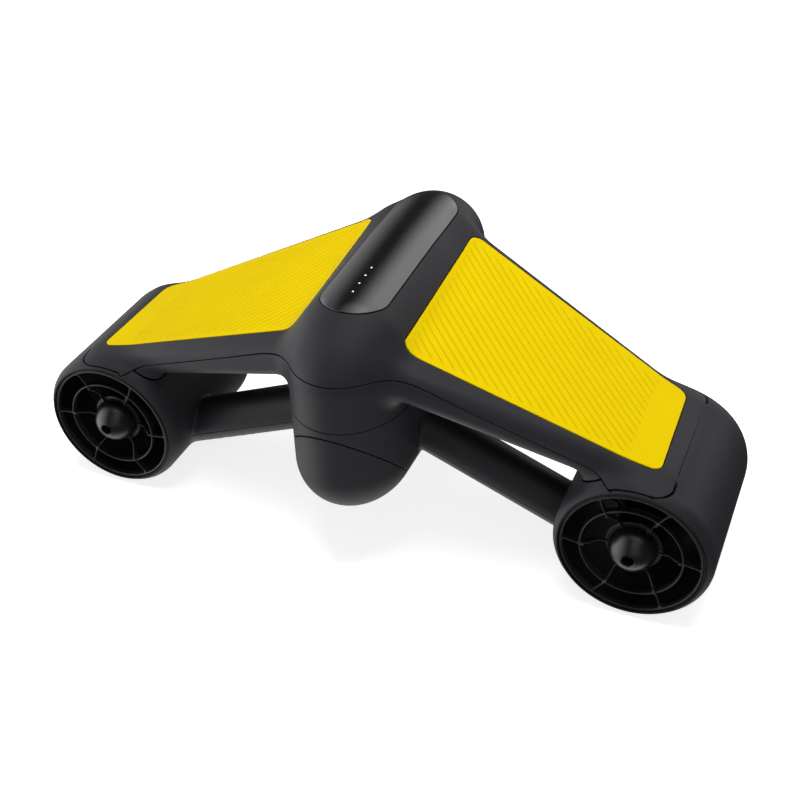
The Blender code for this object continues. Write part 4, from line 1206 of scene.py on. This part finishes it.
# ---------------------------------------------------------------- turned thruster parts
# Profiles are (radius, y).
LINER_PROFILE = (
    [(0.0502, 0.0042), (0.0502, 0.0016)]
    + arc(0.04965, 0.00045, 0.00055, 0, -90, 5) + arc(0.04915, 0.00045, 0.00055, -90, -180, 5)
    + [(0.0485, 0.0012), (0.0484, 0.0030), (0.0484, 0.0200), (0.0484, 0.0600),
       (0.0484, 0.1100), (0.0484, 0.1270)]
    + arc(0.0490, 0.1289, 0.0006, 180, 90, 5) + arc(0.0494, 0.1289, 0.0006, 90, 0, 5)
    + [(0.0502, 0.1270), (0.0502, 0.0800)])

DOME_R, DOME_LENGTH, DOME_Y = 0.0168, 0.01665, 0.0105
DOME_ANGLES = [math.radians(18.2 + 69.8 * k / 22) for k in range(23)]
DOME_PROFILE = (
    [(0.0, 0.0032), (0.0021, 0.0032), (0.0023, 0.0029), (0.0034, 0.0029), (0.0038, 0.0025),
     (0.00395, 0.0010), (0.0040, -0.0044), (0.0041, -0.0049), (0.0043, -0.00525),
     (0.0046, -0.00545)]
    + [(DOME_R * math.sin(a), DOME_Y - DOME_LENGTH * math.cos(a)) for a in DOME_ANGLES]
    + [(0.0168, 0.0094), (0.0152, 0.0094), (0.0145, 0.0050), (0.0118, 0.0012),
       (0.0070, 0.0008), (0.0058, 0.0016), (0.0056, 0.0038), (0.0, 0.0038)])

CASE_R, CASE_GROOVE_R = 0.0225, 0.0218
CASE_PROFILE = [(0.0060, 0.0500), (0.0160, 0.0500)] + arc(0.0180, 0.0545, 0.0045, -90, 0, 6)
for k in range(8):                           # shallow grooves round the can
    y = 0.0580 + 0.0050 * k
    CASE_PROFILE += [(CASE_R, y), (CASE_GROOVE_R, y + 0.0004), (CASE_GROOVE_R, y + 0.0018),
                     (CASE_R, y + 0.0022)]
CASE_PROFILE += [(CASE_R, 0.1012), (0.0222, 0.1018), (0.0212, 0.1020), (0.0209, 0.1016),
                 (0.0209, 0.0560), (0.0060, 0.0560)]

# ---------------------------------------------------------------- propellers
SHAFT_R = 0.0028
PROP_HUB = [
    (SHAFT_R, 0.0164), (0.0100, 0.0164), (0.0118, 0.0170), (0.0140, 0.0192), (0.0156, 0.0222),
    (0.0164, 0.0262), (0.0165, 0.0300), (0.0165, 0.0458), (0.0162, 0.0466), (0.0154, 0.0470),
    (0.0120, 0.0470), (0.0116, 0.0462), (0.0060, 0.0462), (0.0056, 0.0470), (SHAFT_R, 0.0470)]
PROP_BORE = [(0.0, 0.0100), (SHAFT_R, 0.0100), (SHAFT_R, 0.0600), (0.0, 0.0600)]
BLADES = 3
BLADE_PHASE = 0.3
BLADE_ROOT_R, BLADE_TIP_R, BLADE_Y = 0.0120, 0.0462, 0.0320
BLADE_STATIONS = 17
BLADE_SIDE_POINTS = 11                       # on each face of a section


def blade_section(f):
    """(turn about the axis, y) points of the section at a fraction f of the span."""
    r = BLADE_ROOT_R + (BLADE_TIP_R - BLADE_ROOT_R) * f
    pitch = math.radians(58 - 34 * f)
    tip = math.sqrt(max(0.0, 1 - max(0.0, (f - 0.80) / 0.205) ** 2))
    chord = 0.021 + 0.010 * math.sin(math.pi * min(1.0, f * 0.85 + 0.1)) - 0.006 * f
    chord = chord * (0.25 + 0.75 * tip)
    thick = 0.0028 * (1 - f) + 0.0010 + 0.0016 * max(0.0, 1 - f / 0.18) ** 2
    skew = math.radians(18) * f * f
    points = []
    for side in (1, -1):
        for i in range(BLADE_SIDE_POINTS):
            u = i / BLADE_SIDE_POINTS
            u = u if side > 0 else 1 - u
            u = 0.5 - 0.5 * math.cos(math.pi * u)        # closer points near both edges
            bulge = 0.06 + 1.0 * (math.sin(math.pi * u) ** 0.8 if 0 < u < 1 else 0.0)
            camber = 0.05 * chord * math.sin(math.pi * u)
            along = (u - 0.5) * chord
            across = side * bulge * thick * 0.42 + camber
            turn = (along * math.cos(pitch) - across * math.sin(pitch)) / r
            points.append((skew, turn, along * math.sin(pitch) + across * math.cos(pitch)))
    return r, points


def blade(angle):
    bm = bmesh.new()
    rings = []
    for k in range(BLADE_STATIONS):
        r, points = blade_section(k / (BLADE_STATIONS - 1))
        ring_verts = []
        for skew, turn, y in points:
            a = angle + skew + turn
            ring_verts.append(bm.verts.new((r * math.cos(a), BLADE_Y + y, r * math.sin(a))))
        rings.append(ring_verts)
    for inner, outer in zip(rings, rings[1:]):
        for i in range(len(inner)):
            j = (i + 1) % len(inner)
            bm.faces.new((inner[i], inner[j], outer[j], outer[i]))
    bm.faces.new(rings[0])
    bm.faces.new(rings[-1])
    bmesh.ops.recalc_face_normals(bm, faces=bm.faces)
    return bm


def propeller(x, mirror):
    blades = [blade(2 * math.pi * k / BLADES + BLADE_PHASE) for k in range(BLADES)]
    bm = carve(lathe_y(PROP_HUB, 48), blades, "UNION")
    bm = carve(bm, [lathe_y(PROP_BORE, 32)])
    if mirror:
        bmesh.ops.scale(bm, vec=(-1, 1, 1), verts=bm.verts)
        bmesh.ops.reverse_faces(bm, faces=bm.faces)
    bmesh.ops.translate(bm, verts=bm.verts, vec=(x, 0, 0))
    return bm


for side, sx in (("right", 1), ("left", -1)):
    x = sx * AXIS_X
    add_bmesh(f"duct_liner_{side}", lathe_y(LINER_PROFILE, 144, x), "hull", LINER)
    add_bmesh(f"tail_cone_{side}_dome", lathe_y(DOME_PROFILE, 72, x), "hull", DOME,
              f"tail_cone_{side}")
    add_bmesh(f"motor_case_{side}_can", lathe_y(CASE_PROFILE, 72, x), "hull", ALUMINIUM,
              f"motor_case_{side}")
    add_bmesh(f"propeller_{side}_screw", propeller(x, sx < 0), f"drive_{side}", NYLON,
              f"propeller_{side}", sharp=40)

# ---------------------------------------------------------------- screws under the wings
# Profiles are (radius, height along the screw).
SCREW = [(0.0, -0.0040), (0.0013, -0.0040), (0.0015, -0.0036), (0.0015, 0.0004),
         (0.0025, 0.0006), (0.0028, 0.0010), (0.0029, 0.0014), (0.0029, 0.0022),
         (0.0027, 0.0025), (0.0015, 0.0026), (0.0, 0.0026)]
HEX_SOCKET = [(0.0, 0.0010), (0.0015, 0.0010), (0.0015, 0.0040), (0.0, 0.0040)]
SCREW_CUP = [(0.0, -0.0014), (0.0042, -0.0014), (0.0042, 0.0016), (0.0034, 0.0016),
             (0.0034, 0.0), (0.0, 0.0)]
SCREW_SUNK = 0.0032

for end, (x, y) in SCREWS.items():
    for side, sx in (("right", 1), ("left", -1)):
        point, normal = skin_point(sx * x, y, deck_z(x, y) - 0.034, least=-0.3)
        where = point - normal * SCREW_SUNK
        name = f"hull_screw_{end}_{side}"
        head = aim(carve(lathe(SCREW, 32), [lathe(HEX_SOCKET, 6)]), where, normal)
        add_bmesh(name + "_head", head, "hull", STEEL, name)
        add_bmesh(name + "_seat", aim(lathe(SCREW_CUP, 32), where, normal), "hull", LINER)

# ---------------------------------------------------------------- battery bulkheads and pack
CAP_ANGLE = math.atan(-CAP_SEAM[2])
CAP_ALONG = np.array([0.0, math.cos(CAP_ANGLE), -math.sin(CAP_ANGLE)])  # forward and down
CAP_NORMAL = np.array([0.0, math.sin(CAP_ANGLE), math.cos(CAP_ANGLE)])  # away from the cap
CAP_MIDDLE = np.array([0.0, *CAP_SEAM[:2]]) + CAP_ALONG * 0.048
BULKHEAD_THICK = 0.0020
BULKHEAD_INSET = 0.0016
PACK_CORNER = 0.0090                         # corner cut of the pack's octagon
PACK_FRONT = 0.1385


def seam_plane_loop(point, count=120):
    """Loop where a plane parallel to the cap seam meets the pod, drawn inward."""
    angles = np.linspace(0, 2 * math.pi, count, endpoint=False)
    rays = (np.cos(angles)[:, None] * np.array([1.0, 0.0, 0.0])
            + np.sin(angles)[:, None] * CAP_ALONG)
    near, far = np.zeros(count), np.full(count, 0.16)
    for _ in range(40):
        middle = (near + far) / 2
        inside = pod_field(*half_space(point + rays * middle[:, None])) < -BULKHEAD_INSET
        near, far = np.where(inside, middle, near), np.where(inside, far, middle)
    return point + rays * near[:, None]


def octagon(w, z0, z1, y0, y1, corner=PACK_CORNER):
    """A block of half width w with cut corners, along y."""
    loop = [(w, z0 + corner), (w, z1 - corner), (w - corner, z1), (-w + corner, z1),
            (-w, z1 - corner), (-w, z0 + corner), (-w + corner, z0), (w - corner, z0)]
    return prism([(x, y0, z) for x, z in loop], [(x, y1, z) for x, z in loop])


def bulkhead(shift, openings):
    """A plate parallel to the cap seam, shifted away from the cap."""
    loop = seam_plane_loop(CAP_MIDDLE + CAP_NORMAL * shift)
    return carve(prism(loop, [p - CAP_NORMAL * BULKHEAD_THICK for p in loop]), openings)


def contact_slot(x):
    bm = bmesh.new()
    size = Matrix.Diagonal((0.0026, 0.004, 0.014, 1))
    place = Matrix.Translation((x, PACK_FRONT, 0.026))
    bmesh.ops.create_cube(bm, size=1.0, matrix=place @ size)
    return bm


def pack_groove(y):
    return carve(octagon(0.036, -0.002, 0.054, y, y + 0.0022),
                 [octagon(0.0304, 0.0036, 0.0484, y - 0.01, y + 0.01)])


def battery_pack():
    bm = octagon(0.0310, 0.0030, 0.0490, 0.0060, PACK_FRONT)
    bmesh.ops.bevel(bm, geom=list(bm.edges), offset=0.0007, segments=3, affect="EDGES",
                    profile=0.6)
    grooves = [pack_groove(0.050 + 0.012 * k) for k in range(7)]
    slots = [contact_slot(-0.012 + 0.006 * k) for k in range(5)]
    return carve(bm, grooves + slots)


add_bmesh("tail_cap_bulkhead",
          bulkhead(-0.0009, [octagon(0.0306, 0.0034, 0.0486, -0.060, 0.080)]),
          "battery_module", LINER)
add_bmesh("hatch_bulkhead",
          bulkhead(0.0029, [octagon(0.0324, 0.0016, 0.0504, -0.060, 0.080),
                            octagon(0.0420, -0.060, 0.0000, 0.0350, 0.120, corner=0.0010)]),
          "hull", LINER)
add_bmesh("battery_case_body", battery_pack(), "battery_module", NYLON,
          "battery_case", sharp=25)

# ---------------------------------------------------------------- finishes of inner CAD pieces
FINISH = {"stator": COPPER, "rotor": STEEL, "motor_shaft": STEEL, "rear_bearing": STEEL,
          "front_bearing": STEEL, "prop_nut": STEEL, "trigger_pin": STEEL,
          "trigger_spring": STEEL, "trigger_board": BOARD, "power_cable": RUBBER,
          "led_board": BOARD, "control_board": BOARD, "battery_sleeve": LINER,
          "battery_connector": LINER, "cell_pack": CELL, "battery_seal": RUBBER}
for name, node in frame["nodes"].items():
    base = name.replace("_left", "").replace("_right", "")
    if base in FINISH:
        if len(node.data.materials):
            node.data.materials[0] = FINISH[base]
        else:
            node.data.materials.append(FINISH[base])


# ---------------------------------------------------------------- stage, light, camera
def build_floor():
    half = 6
    mesh = bpy.data.meshes.new("floor")
    mesh.from_pydata([(-half, -half, 0), (half, -half, 0), (half, half, 0), (-half, half, 0)],
                     [], [(0, 1, 2, 3)])
    floor = as_object("floor", mesh)
    floor.location.z = -0.0006
    mat, tree, shader, vector = new_material("floor_white")
    tone = noise(tree, vector, scale=3.0)
    color = mix_color(tree, tone, (0.86, 0.86, 0.86), (0.89, 0.89, 0.89))
    path = tree.nodes.new("ShaderNodeLightPath")
    # the floor glows more to the camera than it lights the craft
    glow = remap(tree, path.outputs["Is Camera Ray"], between=(0.0, 1.0), to=(0.48, 0.80))
    feed(tree, shader, {"Base Color": color, "Roughness": 0.7, "Specular IOR Level": 0.1,
                        "Emission Color": (1, 1, 1, 1), "Emission Strength": glow})
    mesh.materials.append(mat)
    floor.visible_glossy = False


def build_world():
    """Soft boxes seen in reflections only, even light on matt surfaces, white behind."""
    world = bpy.data.worlds.new("studio")
    SCENE.world = world
    world.use_nodes = True
    tree = world.node_tree
    coord = tree.nodes.new("ShaderNodeTexCoord")
    direction = add_node(tree, "ShaderNodeSeparateXYZ", {"Vector": coord.outputs["Generated"]})

    def glow(axis, start, end, level):
        """Brightness that grows from 0 to level between two values of a direction axis."""
        return remap(tree, direction.outputs[axis], between=(start, end), to=(0.0, level),
                     interpolation_type="SMOOTHSTEP")

    def plus(a, b):
        return maths(tree, "ADD", a, b)

    def times(a, b):
        return maths(tree, "MULTIPLY", a, b)

    # a wide soft box on the right, a dimmer one on the left, a dark band between them
    right_box = times(glow("X", -0.32, 0.20, 1.15), glow("X", 0.78, 0.45, 1.0))
    right_box = times(right_box, glow("Z", -0.25, 0.10, 1.0))
    # little of it reaches faces turned to the rear
    right_box = times(right_box, plus(glow("Y", -0.45, 0.0, 0.65), 0.35))
    left_box = plus(glow("X", -0.42, -0.70, 0.33), glow("X", -0.68, -0.93, 1.2))
    rear_left = times(glow("X", -0.25, -0.75, 1.35), glow("Y", 0.10, -0.50, 1.0))
    overhead = glow("Z", 0.84, 0.98, 0.45)
    below = glow("Z", -0.66, -0.97, 1.2)
    studio = right_box
    for light in (left_box, rear_left, overhead, below, 0.04):
        studio = plus(studio, light)
    path = tree.nodes.new("ShaderNodeLightPath")

    def choose(ray, otherwise, value):
        """Sockets 2 and 3 of a float mix are its two values."""
        inputs = {"Factor": path.outputs[ray], 2: otherwise, 3: value}
        return add_node(tree, "ShaderNodeMix", inputs, data_type="FLOAT").outputs[0]

    level = choose("Is Glossy Ray", otherwise=0.17, value=studio)
    level = choose("Is Camera Ray", otherwise=level, value=1.0)
    feed(tree, tree.nodes["Background"], {"Strength": level, "Color": (1, 1, 1, 1)})


def area_light(name, where, look, size, power, glossy):
    data = bpy.data.lights.new(name, "AREA")
    data.energy = power
    data.size = size
    ob = as_object(name, data)
    ob.location = where
    ob.rotation_euler = (Vector(look) - Vector(where)).to_track_quat("-Z", "Y").to_euler()
    ob.visible_glossy = glossy


def build_camera():
    data = bpy.data.cameras.new("camera")
    data.sensor_width = 36.0
    data.lens = 57.105
    data.clip_start = 0.01
    azimuth, elevation, roll = math.radians(23.91), math.radians(36.09), math.radians(-2.01)
    back = Vector((math.sin(azimuth) * math.cos(elevation),
                   -math.cos(azimuth) * math.cos(elevation), math.sin(elevation)))
    level = Vector((math.cos(azimuth), math.sin(azimuth), 0))
    upright = back.cross(level)
    right = math.cos(roll) * level + math.sin(roll) * upright
    up = -math.sin(roll) * level + math.cos(roll) * upright
    turn = Matrix((right, up, back)).transposed()
    where = Vector((0.31207, -0.61315, 0.57448)) + Vector(DATUM)
    camera = as_object("camera", data)
    camera.matrix_world = Matrix.Translation(where) @ turn.to_4x4()
    SCENE.camera = camera


build_floor()
build_world()
area_light("key", where=(0.05, 0.05, 1.7), look=(0, 0, 0.1), size=1.1, power=24.8, glossy=False)
area_light("fill", where=(0.5, -1.2, 1.2), look=(0, 0, 0.08), size=0.8, power=0.7, glossy=True)
build_camera()
SCENE.view_settings.view_transform = "Standard"
